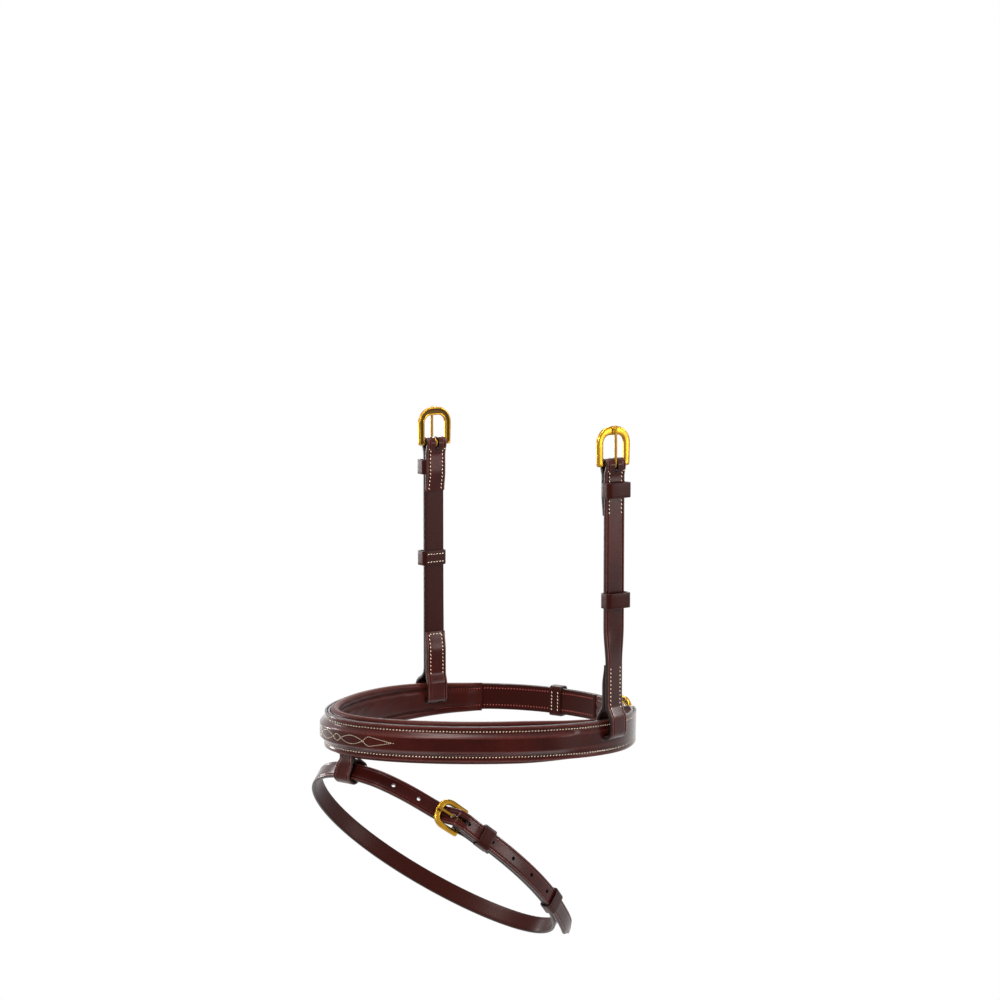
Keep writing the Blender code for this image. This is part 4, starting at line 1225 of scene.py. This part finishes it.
def buckle_tongue(side, strap_width, matrix):
    """Wire tongue: an eye bent round the bar, a shank, and a tip let into the notch."""
    eye = TONGUE_LEVEL
    rest = BUCKLE_METAL / 2 + LAYER_GAP + TONGUE_RADIUS
    points = []
    for step in range(25):
        turn = math.radians(TONGUE_EYE_START - TONGUE_EYE_TURN * step / 24)
        points.append((eye * math.cos(turn), eye * math.sin(turn), 1.0))
    tip = buckle_length(strap_width) + TONGUE_OVERHANG
    for step in range(1, 15):
        share = step / 14
        z = eye + (rest - eye) * ease(share * 1.4) + TONGUE_BOW * math.sin(math.pi * share)
        z -= TONGUE_DROP * ease((share - 0.75) / 0.25)
        girth = (1.0 - 0.12 * share) * (0.8 if share > 0.93 else 1.0)
        points.append((share * tip, z, girth))
    points.append((tip + 0.25 * MM, points[-1][1] - 0.1 * MM, 0.25))
    rings, sides = [], 14
    for number, (x, z, girth) in enumerate(points):
        x0, z0 = points[max(0, number - 1)][:2]
        x1, z1 = points[min(len(points) - 1, number + 1)][:2]
        way = Vector((x1 - x0, 0, z1 - z0)).normalized()
        up = way.cross(Vector((0, 1, 0)))
        ring = []
        for step in range(sides):
            turn = 2 * math.pi * step / sides
            arm = Vector((0, 1, 0)) * math.cos(turn) + up * (0.94 * math.sin(turn))
            ring.append(matrix @ (Vector((x, 0, z)) + arm * (TONGUE_RADIUS * girth)))
        rings.append(ring)
    wear_and_light, finishes = [0.6] * sides, (BRASS, BRASS)
    made = loft(side + "_tongue_brass", rings, [0] * sides, wear_and_light, finishes, smooth=60)
    settle(made, side + "_tongue", "brass", side + "_buckle_tongue")


def keeper(cad_node, body, half_width, low, high, length, matrix, sewn=0):
    """A creased leather loop; when sewn gives a count, its joint is sewn with two rows on the
    side against the strap.
    """
    wall = KEEPER_LEATHER
    reach = half_width + KEEPER_EASE + wall / 2
    bottom, top = low - wall / 2, high + wall / 2
    corners = [(bottom, -reach), (top, -reach), (top, reach), (bottom, reach)]
    line = finer(closed_fillet(corners, [KEEPER_ROUND] * 4), MM)
    axis = matrix.to_3x3() @ Vector((1, 0, 0))
    stations = []
    for z, y in line:
        swell = KEEPER_SWELL * ease((z - low) / (high - low)) * (1 - (y / reach) ** 2)
        stations.append((matrix @ Vector((0, y, z + swell)), axis, 0.0))
    section = strap_section(length / 2, wall, *KEEPER_CREASE)
    name = cad_node + "_loop"
    made = sweep(name, stations, lambda at: section, STRAP_FINISH, closed=True)
    settle(made, body, "leather", cad_node)
    if not sewn:
        return
    marks = []
    down = matrix.to_3x3() @ Vector((0, 0, 1))
    along = matrix.to_3x3() @ Vector((0, 1, 0))
    for row in (-1, 1):
        for step in range(sewn):
            y = (step - (sewn - 1) / 2) * CHEEK_PITCH * 0.92
            place = Vector((row * length * KEEPER_ROW_SHARE, y, bottom - KEEPER_NEEDLE))
            point = matrix @ place
            marks.append((point, down, along))
    sew(name + "_stitches", made, marks, body, pitch=CHEEK_PITCH, wide=KEEPER_STITCH,
        slant=0.3)


# Noseband
def make_face():
    fold = chape(FACE_LEATHER, REAR_CHAPE)
    points = [Vector((OFF_BAR - p.x, REAR_AXIS + p.y)) for p in fold]
    points += level_run(points[-1].x, FACE_NEAR_END, FACE_LEVEL)[1:]
    face = sweep("noseband_face_leather", BAND.stations(points), face_section, STRAP_FINISH)
    rear = BAND.frame(OFF_BAR, REAR_AXIS)
    carve(face, crew_slot(FACE_LEATHER, rear), cheek_slit("near"), cheek_slit("off"))
    return settle(face, "noseband", "leather", "noseband_face")


def make_backing():
    start = OFF_BAR + REAR_CHAPE + LAYER_GAP
    tail = billet_path(BACKING_LEATHER, FACE_LEATHER, BACKING_LEVEL - REAR_AXIS, REAR_TAIL)
    points = level_run(start, REAR_BAR - tail[0].x, BACKING_LEVEL)[:-1]
    points += [Vector((REAR_BAR - p.x, REAR_AXIS + p.y)) for p in finer(tail)]

    def shape(at):
        return strap_section(backing_half(at), BACKING_LEATHER, *JAW_CREASE)

    backing = sweep("noseband_backing_strap", BAND.stations(points), shape, STRAP_FINISH)
    hole = billet_hole(BAND, tail, REAR_BAR, REAR_AXIS)
    carve(backing, hole, cheek_slit("near"), cheek_slit("off"))
    return settle(backing, "noseband", "leather", "noseband_backing")


def make_padding():
    """Lined cushion with two rolls, sewn through along both edges of the noseband."""
    start, end = -PADDING_OFF_END, PADDING_NEAR_END
    count = round((end - start) / FINE_STEP)
    rings = []
    for step in range(count + 1):
        at = start + (end - start) * step / count
        rings.append([BAND.place(at, out, up) for up, out, zone, wear_and_light in padding_ring(at)])
    sample = padding_ring(0)
    zones = [FACE] * len(sample)
    wear_and_light = [point[3] for point in sample]
    made = loft("noseband_padding", rings, zones, wear_and_light, LINED_FINISH, smooth=60)
    carve(made, cheek_slit("off"), loop_pocket(), smooth=60)
    settle(made, "noseband", "lining", "padding_lining", "padding_foam")
    return made


def cheek_slit(side):
    """Slit of the noseband through which a cheek strap passes."""
    at = NEAR_SLOT if side == "near" else -OFF_SLOT
    size = (CHEEK_WIDTH + 2 * SLIT_EASE, SLIT_HEIGHT, 4 * PADDING_DEPTH)
    return box_cutter(size, BAND.frame(at))


def loop_levels():
    """Levels of the flash loop's two sewn ends, behind the curved backing."""
    edge = BAND.place(LOOP_ON_BAND + FLASH_LOOP_WIDTH / 2) - BAND.place(LOOP_ON_BAND)
    bulge = edge.dot(BAND.outward(LOOP_ON_BAND))
    front = PADDING_LEVEL + bulge - LOOP_LEATHER / 2
    return front, front - LOOP_LEATHER - LAYER_GAP


def loop_pocket():
    """Room in the padding for the loop's sewn ends."""
    back = loop_levels()[1]
    top = FLASH_LOOP_TOP + LAYER_GAP
    bottom = -PADDING_HEIGHT
    depth = PADDING_LEVEL - back + LOOP_LEATHER / 2 + 2 * LAYER_GAP
    size = (FLASH_LOOP_WIDTH + 2 * LAYER_GAP, top - bottom, depth)
    middle = PADDING_LEVEL - depth / 2 + LAYER_GAP
    place = BAND.frame(LOOP_ON_BAND, middle, (top + bottom) / 2)
    return box_cutter(size, place)


def make_loop():
    """Folded leather loop under the front, its ends sewn in behind the backing."""
    front, back = loop_levels()
    high = FLASH_LOOP_ROOM_ALONG + LOOP_LEATHER / 2
    deep = FLASH_LOOP_ROOM_ACROSS + LOOP_LEATHER / 2
    low_edge = -PADDING_HEIGHT / 2 - LOOP_LEATHER - LAYER_GAP
    origin = BAND.place(LOOP_ON_BAND)
    outward = BAND.outward(LOOP_ON_BAND)
    out_of_ring = FLASH.outward(FLASH_LOOP_AT)
    corners = [(front, FLASH_LOOP_TOP), (front, low_edge)]
    for rise, reach in ((-1, -1), (-1, 1), (1, 1), (1, -1)):
        corner = FLASH_PIVOT + FLASH.across * (high * rise) - out_of_ring * (deep * reach)
        corner -= origin
        corners.append((corner.dot(outward), corner.dot(BAND.across)))
    corners += [(back, low_edge), (back, FLASH_LOOP_TOP)]
    sideways = BAND.tangent(LOOP_ON_BAND)
    ahead = FLASH.tangent(FLASH_LOOP_AT)
    stations = []
    for out, up in finer(fillet(corners, FLASH_LOOP_ROUNDS), MM):
        share = ease((low_edge - up) / (PADDING_HEIGHT / 7))
        side = sideways.lerp(ahead, share).normalized()
        stations.append((origin + outward * out + BAND.across * up, side, 0.0))
    section = strap_section(FLASH_LOOP_WIDTH / 2, LOOP_LEATHER, *LOOP_CREASE)
    made = sweep("flash_loop_leather", stations, lambda at: section, STRAP_FINISH)
    settle(made, "noseband", "leather", "flash_loop")


def make_rear_buckle():
    place = BAND.frame(OFF_BAR, REAR_AXIS)
    buckle_frame("rear", BILLET_WIDTH, place)
    buckle_tongue("rear", BILLET_WIDTH, place)
    low = PADDING_LEVEL + LAYER_GAP - KEEPER_EASE
    high = FACE_LEATHER + LAYER_GAP + BACKING_LEATHER + KEEPER_EASE
    place = BAND.frame(OFF_BAR + REAR_RUNNER_FROM_BAR)
    keeper("rear_runner", "rear_runner", JAW_HEIGHT / 2, low, high, REAR_RUNNER_LENGTH, place,
           sewn=6)


# Cheek straps
def cheek_levels(side):
    """Levels of a cheek strap in front of and behind the band, and of its upright part."""
    outer = FACE_LEATHER + CHEEK_LOOP_CLEAR + CHEEK_LEATHER / 2
    back = PADDING_LEVEL + LAYER_GAP
    if side == "near":
        outer += NEAR_LOOP_BULGE
    else:
        back = PADDING_LEVEL - PADDING_DEPTH - PADDING_CROWN
    inner = back - CHEEK_LOOP_CLEAR - CHEEK_LEATHER / 2
    return outer, inner, outer + (inner - outer) * CHEEK_LEAN[side]


def cheek_path(side):
    """(out, height) centre line: up from the lower tail, through the slit, to the chape."""
    outer, inner, middle = cheek_levels(side)
    level = (CHEEK_LEATHER + LAYER_GAP) / 2
    band_top = padding_half(-OFF_SLOT) if side == "off" else BAND_HEIGHT / 2
    corners = (
        (middle - level, CHEEK_LOOP_TAIL),
        (middle - level, LOOP_JOIN[side]),
        (inner, band_top + CHEEK_LOOP_CLEAR),
        (inner, 0),
        (outer, 0),
        (outer, band_top + CHEEK_LOOP_CLEAR),
        (middle + level, LOOP_JOIN[side]),
        (middle + level, CHEEK_BAR_HEIGHT - CHEEK_CHAPE),
    )
    lower = fillet(corners, CHEEK_ROUNDS[side])
    fold = [
        Vector((middle + z, CHEEK_BAR_HEIGHT + x))
        for x, z in reversed(chape(CHEEK_LEATHER, CHEEK_CHAPE))
    ]
    return lower + fold, middle


def skiving(from_end):
    """Share of its thickness that a folded tail keeps near its end."""
    return SKIVED_SHARE + (1 - SKIVED_SHARE) * ease(from_end / SKIVED_LENGTH)


def make_cheek(side):
    """A cheek strap, turned from its slit's heading to the side of the head higher up."""
    at = NEAR_SLOT if side == "near" else -OFF_SLOT
    outward = BAND.outward(at)
    heading = math.atan2(outward.y, outward.x)
    square = 0.0 if side == "near" else math.pi
    twist = (square - heading + math.pi) % (2 * math.pi) - math.pi
    slit = Matrix.Translation(BAND.place(at)) @ Matrix.Rotation(heading, 4, "Z")
    turn_slit = slit.to_3x3()
    path, middle = cheek_path(side)
    line = finer(path)
    reached = [0.0]
    for first, second in zip(line, line[1:]):
        reached.append(reached[-1] + (second - first).length)
    stations = []
    for (out, height), far in zip(line, reached):
        skived = skiving(min(far, reached[-1] - far))
        out += (1 - skived) * CHEEK_LEATHER / 2
        turned = twist * ease((height - CHEEK_LOOP_TAIL) / (CHEEK_TWIST_END - CHEEK_LOOP_TAIL))
        arm = Vector((math.cos(turned), math.sin(turned), 0))
        centre = Vector((middle, 0, height)) + arm * (out - middle)
        stations.append((slit @ centre, turn_slit @ -UP.cross(arm), skived))

    def shape(skived):
        thick = CHEEK_LEATHER * skived
        return strap_section(CHEEK_WIDTH / 2, thick, depth=CREASE_DEPTH * skived)

    strap = sweep(side + "_cheek_leather", stations, shape, STRAP_FINISH)
    upright = slit @ Matrix.Translation((middle, 0, 0)) @ Matrix.Rotation(twist, 4, "Z")
    stand = Matrix(((0, 0, 1), (0, -1, 0), (1, 0, 0))).to_4x4()
    buckle = upright @ Matrix.Translation((0, 0, CHEEK_BAR_HEIGHT)) @ stand
    below = buckle @ Matrix.Translation((-CHEEK_KEEPER_DROP, 0, 0))
    groove = keeper_groove(below, CHEEK_WIDTH, CHEEK_KEEPER_LENGTH)
    carve(strap, crew_slot(CHEEK_LEATHER, buckle), groove)
    body = side + "_cheek"
    settle(strap, body, "leather", side + "_cheek_strap")
    buckle_frame(side, CHEEK_WIDTH, buckle)
    buckle_tongue(side, CHEEK_WIDTH, buckle)
    low = LAYER_GAP / 2
    high = low + CHEEK_LEATHER + BILLET_ROOM
    keeper(side + "_fixed_keeper", body, CHEEK_WIDTH / 2, low - LAYER_GAP, high,
           CHEEK_KEEPER_LENGTH, below)
    place = upright @ Matrix.Translation((0, 0, RUNNER_HEIGHT[side])) @ stand
    runner = side + "_runner"
    keeper(runner, runner, CHEEK_WIDTH / 2, low - KEEPER_EASE, high, CHEEK_KEEPER_LENGTH,
           place, sewn=6)
    sew_cheek(side, strap, slit @ Matrix.Translation((middle, 0, 0)), upright, body)


def sew_cheek(side, strap, lower, upper, body):
    """Rows at both ends of a cheek strap, seen on its outer and its inner face."""
    marks = []
    for face in (-1, 1):
        for place, (low, high), closed in ((lower, LOWER_ROWS, True), (upper, UPPER_ROWS, False)):
            turn = place.to_3x3()
            down, crosswise = turn @ Vector((-face, 0, 0)), turn @ Vector((0, 1, 0))
            for edge in (-1, 1):
                count = round((high - low) / CHEEK_PITCH)
                for step in range(count + 1):
                    z = low + (high - low) * step / count
                    point = place @ Vector((face * CHEEK_NEEDLE, edge * CHEEK_COLUMN, z))
                    marks.append((point, down, UP * edge))
                if not closed:
                    wrap = Vector((face * CHEEK_NEEDLE, edge * WRAP_COLUMN, WRAP_HEIGHT))
                    marks.append((place @ wrap, down, crosswise))
            if closed and face < 0:
                for step in range(4):
                    y = (step - 1.5) * CHEEK_PITCH
                    point = place @ Vector((face * CHEEK_NEEDLE, y, CLOSING_ROW))
                    marks.append((point, down, crosswise))
    sew(side + "_cheek_stitches", strap, marks, body, pitch=CHEEK_PITCH * 0.9, slant=0.25)


# Flash strap
def flash_half(at):
    tip = FLASH_BAR + FLASH.length + FLASH_TAIL
    half = FLASH_WIDTH / 2
    return read_table(((tip - 0.45 * FLASH_WIDTH, half), (tip, 0.3 * half)), at)


def spring(far):
    """How far the free end stands off the curve, past the runner: it runs on straight."""
    free = far - FLASH_RUNNER_FROM_BAR - FLASH_KEEPER_LENGTH / 2 - MM
    return max(0.0, free) ** 2 / (2 * FLASH_TIP_RADIUS)


def make_flash():
    level = FLASH_LEVEL
    fold = [Vector((FLASH_BAR - p.x, p.y)) for p in chape(FLASH_LEATHER, FLASH_CHAPE)]
    tail_bar = FLASH_BAR + FLASH.length
    tail = billet_path(FLASH_LEATHER, FLASH_LEATHER, level, FLASH_TAIL, FLASH_DIP_START,
                       FLASH_SWEEP)
    points = fold + level_run(fold[-1].x, tail_bar - tail[0].x, level)[1:-1]
    points += [Vector((tail_bar - p.x, p.y + spring(-p.x))) for p in finer(tail, FINE_STEP)]

    def shape(at):
        return strap_section(flash_half(at), FLASH_LEATHER, *FLASH_CREASE)

    strap = sweep("flash_strap_leather", FLASH.stations(points), shape, STRAP_FINISH)
    buckle = FLASH.frame(FLASH_BAR)
    cuts = [crew_slot(FLASH_LEATHER, buckle), billet_hole(FLASH, tail, FLASH_BAR, 0)]
    for number in (-2, -1, 1, 2, 3, 4, 5):
        at = FLASH_BAR - crossing(tail) + number * FLASH_HOLE_PITCH - FLASH_HOLE_SHIFT
        out, depth = level + FLASH_LEATHER + LAYER_GAP, FLASH_LEATHER + LAYER_GAP
        if number < 0:
            out, depth = level, 6 * FLASH_LEATHER
        hole = FLASH.frame(at, out)
        cuts.append(slot_cutter(FLASH_HOLE_WIDTH, FLASH_HOLE_WIDTH, depth, hole))
    place = FLASH.frame(FLASH_BAR + FLASH_KEEPER_FROM_BAR)
    cuts.append(keeper_groove(place, FLASH_WIDTH, FLASH_KEEPER_LENGTH))
    carve(strap, *cuts)
    settle(strap, "flash", "leather", "flash_strap")
    buckle_frame("flash", FLASH_WIDTH, buckle)
    buckle_tongue("flash", FLASH_WIDTH, buckle)
    low = LAYER_GAP / 2
    room = LAYER_GAP + FLASH_LEATHER + KEEPER_EASE
    high = low + FLASH_LEATHER + room
    keeper("flash_fixed_keeper", "flash", FLASH_WIDTH / 2, low - LAYER_GAP, high,
           FLASH_KEEPER_LENGTH, place)
    place = FLASH.frame(FLASH_BAR + FLASH_RUNNER_FROM_BAR)
    keeper("flash_runner", "flash_runner", FLASH_WIDTH / 2, low - KEEPER_EASE, high,
           FLASH_KEEPER_LENGTH, place, sewn=4)
    sew_flash(strap)


def sew_flash(strap):
    """Two short rows in the fold behind the flash buckle, and a stitch by each edge."""
    marks = []
    for edge in (-1, 1):
        for step in range(8):
            at = FLASH_BAR + FLASH_ROW_START + step * CHEEK_PITCH
            point = FLASH.place(at, -FLASH_NEEDLE, edge * FLASH_COLUMN)
            marks.append((point, FLASH.outward(at), FLASH.tangent(at)))
        at = FLASH_BAR + FLASH_WRAP
        for side in (-1, 1):
            outward = FLASH.outward(at) * side
            point = FLASH.place(at, 0, edge * FLASH_WRAP_COLUMN)
            point += outward * FLASH_WRAP_NEEDLE * MM
            marks.append((point, -outward, FLASH.across))
    sew("flash_chape_stitches", strap, marks, "flash", pitch=CHEEK_PITCH * 0.85, slant=0.1)


# Stitching of the noseband
def row_height(at):
    return face_half(at) - STITCH_INSET


def sew_noseband(face, backing, padding):
    """Rows along both edges of the face, the padding's channels and the jaw strap."""
    start, end = OFF_BAR + FOLD_MARGIN, FACE_NEAR_END - ROW_MARGIN
    marks = band_marks(start, end, row_height)
    marks += band_marks(start, end, lambda at: -row_height(at))
    sew("noseband_stitches", face, marks, "noseband")
    marks, late = [], []
    for edge in (-1, 1):
        def row(at):
            return edge * padding_row(at)

        marks += band_marks(-OFF_SLOT, PADDING_NEAR_END - 2 * SEAM_MARGIN, row, side=-1)
        late += band_marks(-PADDING_OFF_END + SEAM_MARGIN, -OFF_SLOT - PITCH, row, side=-1)
    sew("padding_stitches", padding, marks, "noseband", thread=DARK, wide=PADDING_STITCH)
    sew("padding_end_stitches", padding, late, "noseband", thread=GARNET, wide=GARNET_STITCH)
    marks = []
    for edge in (-1, 1):
        for first, last in (
            (OFF_BAR + REAR_CHAPE + ROW_MARGIN, -PADDING_OFF_END - SEAM_MARGIN),
            (PADDING_NEAR_END + SEAM_MARGIN, FACE_NEAR_END - ROW_MARGIN),
        ):
            marks += band_marks(first, last, lambda at: edge * row_height(at), side=-1)
    sew("jaw_strap_stitches", backing, marks, "noseband", thread=GARNET, wide=GARNET_STITCH)
    sew_fancy(face)


def fancy_rise(share, peak):
    """Height along one side of a lens: an even arch, or a rise that runs to an arrow's tip."""
    if peak == 0.5:
        return math.sin(math.pi * share)
    if share > peak:
        return 1 - (share - peak) / (1 - peak)
    return math.sin(math.pi / 2 * share / peak)


def sew_fancy(face):
    """Traditional fancy stitching: a middle lens, a longer one each side, and two arrows."""
    marks, count = [], 60
    for side in (-1, 1):
        for edge in (-1, 1):
            for first, last, height, peak in FANCY_LENSES:
                if side < 0 and first < 0:
                    continue
                points = []
                for step in range(count + 1):
                    share = step / count
                    s = FANCY_MIDDLE + side * (first + (last - first) * share) * MM
                    points.append((s, edge * height * fancy_rise(share, peak) * MM))
                marks += run_marks(points)
    for side in (-1, 1):
        marks += run_marks([(FANCY_MIDDLE + side * at * MM, 0.0) for at in FANCY_TIP])
    sew("fancy_stitches", face, marks, "noseband", pitch=FINE_PITCH, wide=FANCY_STITCH,
        slant=0.0)


def run_marks(points):
    """Marks a fine pitch apart along (along, up) points on the face."""
    lengths = [0.0]
    for (s0, u0), (s1, u1) in zip(points, points[1:]):
        lengths.append(lengths[-1] + math.hypot(s1 - s0, u1 - u0))
    count = max(1, round(lengths[-1] / FINE_PITCH))
    marks = []
    for step in range(count):
        target = lengths[-1] * (step + 0.5) / count
        index = max(i for i, value in enumerate(lengths[:-1]) if value <= target)
        (s0, u0), (s1, u1) = points[index], points[index + 1]
        share = (target - lengths[index]) / (lengths[index + 1] - lengths[index])
        s, u = s0 + (s1 - s0) * share, u0 + (u1 - u0) * share
        outward = BAND.outward(s)
        along = BAND.tangent(s) * (s1 - s0) + BAND.across * (u1 - u0)
        above = BAND.place(s, NEEDLE_START * MM, u)
        marks.append((above, -outward, along.normalized()))
    return marks


# Studio
def make_floor():
    """Pale floor that keeps the object's shadow and turns plain white away from it."""
    bm = bmesh.new()
    bmesh.ops.create_circle(bm, cap_ends=True, segments=96, radius=FLOOR_RADIUS)
    mesh = bpy.data.meshes.new("floor")
    bm.to_mesh(mesh)
    bm.free()
    floor = new_object("floor", mesh)
    floor.location.z = CAD_BOX[0].z - FLOOR_DROP
    made, tree, shader, where = new_material(
        "pale_floor", Base_Color=(0.86, 0.86, 0.86, 1), Roughness=0.9, Specular_IOR_Level=0.0
    )
    white = node(tree, "ShaderNodeEmission", {"Color": (1, 1, 1, 1), "Strength": 1.0})
    far = node(tree, "ShaderNodeVectorMath", operation="LENGTH")
    join(tree, where, far.inputs[0])
    fade = between(tree, far.outputs["Value"], *WHITE_FADE)
    whitened = maths(tree, "MULTIPLY", fade, seen_rays(tree))
    mix_into(tree, "Material Output", whitened, shader, white)
    mesh.materials.append(made)


def seen_rays(tree):
    """1 for camera, glossy and transmission rays."""
    rays = tree.nodes.new("ShaderNodeLightPath")
    seen = maths(tree, "MAXIMUM", rays.outputs["Is Camera Ray"], rays.outputs["Is Glossy Ray"])
    return maths(tree, "MAXIMUM", seen, rays.outputs["Is Transmission Ray"])


def make_world():
    world = bpy.data.worlds.new("studio")
    bpy.context.scene.world = world
    world.use_nodes = True
    tree = world.node_tree
    light = tree.nodes["Background"]
    light.inputs["Color"].default_value = (1, 1, 1, 1)
    light.inputs["Strength"].default_value = WORLD_LIGHT
    white = node(tree, "ShaderNodeBackground", {"Color": (1, 1, 1, 1), "Strength": 1.0})
    mix_into(tree, "World Output", seen_rays(tree), light, white)


# Name, degrees round from the near side, degrees up, size and power
LAMPS = (
    ("top_softbox", -42, 67, 0.36, 12.0),
    ("overhead_softbox", 0, 88, 0.36, 9.0),
    ("key_softbox", -52, 29, 0.32, 15.0),
    ("front_softbox", -155, 3, 0.30, 8.0),
    ("front_high_softbox", -150, 30, 0.30, 5.0),
    ("back_softbox", 145, 40, 0.34, 8.0),
    ("rear_softbox", 60, 25, 0.30, 7.0),
    ("side_softbox", 36, 6, 0.34, 3.5),
)


def make_lamp(name, turn, rise, size, power):
    """A square softbox that looks at the noseband's middle."""
    lamp = bpy.data.lights.new(name, "AREA")
    lamp.size = size
    lamp.energy = power
    turn, rise = math.radians(turn), math.radians(rise)
    level = math.cos(rise)
    way = Vector((level * math.cos(turn), level * math.sin(turn), math.sin(rise)))
    place = way * LAMP_DISTANCE
    holder = new_object(name, lamp)
    holder.location = place
    holder.rotation_euler = (-place).to_track_quat("-Z", "Y").to_euler()


def make_camera():
    """The photograph's viewpoint, from the near side in front and slightly above."""
    cos_turn, sin_turn = math.cos(CAMERA_TURN), math.sin(CAMERA_TURN)
    cos_pitch, sin_pitch = math.cos(CAMERA_PITCH), math.sin(CAMERA_PITCH)
    ahead = Vector((-sin_turn * cos_pitch, cos_turn * cos_pitch, -sin_pitch))
    right = Vector((cos_turn, sin_turn, 0))
    upward = right.cross(ahead)
    across, below = (ORIGIN_ACROSS - 0.5) / FOCAL_SHARE, (ORIGIN_DOWN - 0.5) / FOCAL_SHARE
    place = -CAMERA_DISTANCE * (ahead + right * across - upward * below)
    place.y -= CAMERA_BACK
    camera = bpy.data.cameras.new("camera")
    camera.sensor_width = SENSOR_WIDTH
    camera.lens = FOCAL_SHARE * SENSOR_WIDTH
    holder = new_object("camera", camera)
    axes = Matrix((right, upward, -ahead)).transposed()
    holder.matrix_world = Matrix.Translation(place) @ axes.to_4x4()
    bpy.context.scene.camera = holder


def main():
    face, backing, padding = make_face(), make_backing(), make_padding()
    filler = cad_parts["raise_core"].data
    filler.materials.clear()
    filler.materials.append(FOAM)
    make_loop()
    make_rear_buckle()
    make_cheek("near")
    make_cheek("off")
    make_flash()
    sew_noseband(face, backing, padding)
    make_floor()
    make_world()
    for name, turn, rise, size, power in LAMPS:
        make_lamp(name, turn, rise, size, power)
    make_camera()
    bpy.context.scene.view_settings.view_transform = "Standard"


main()
bpy.context.view_layer.update()
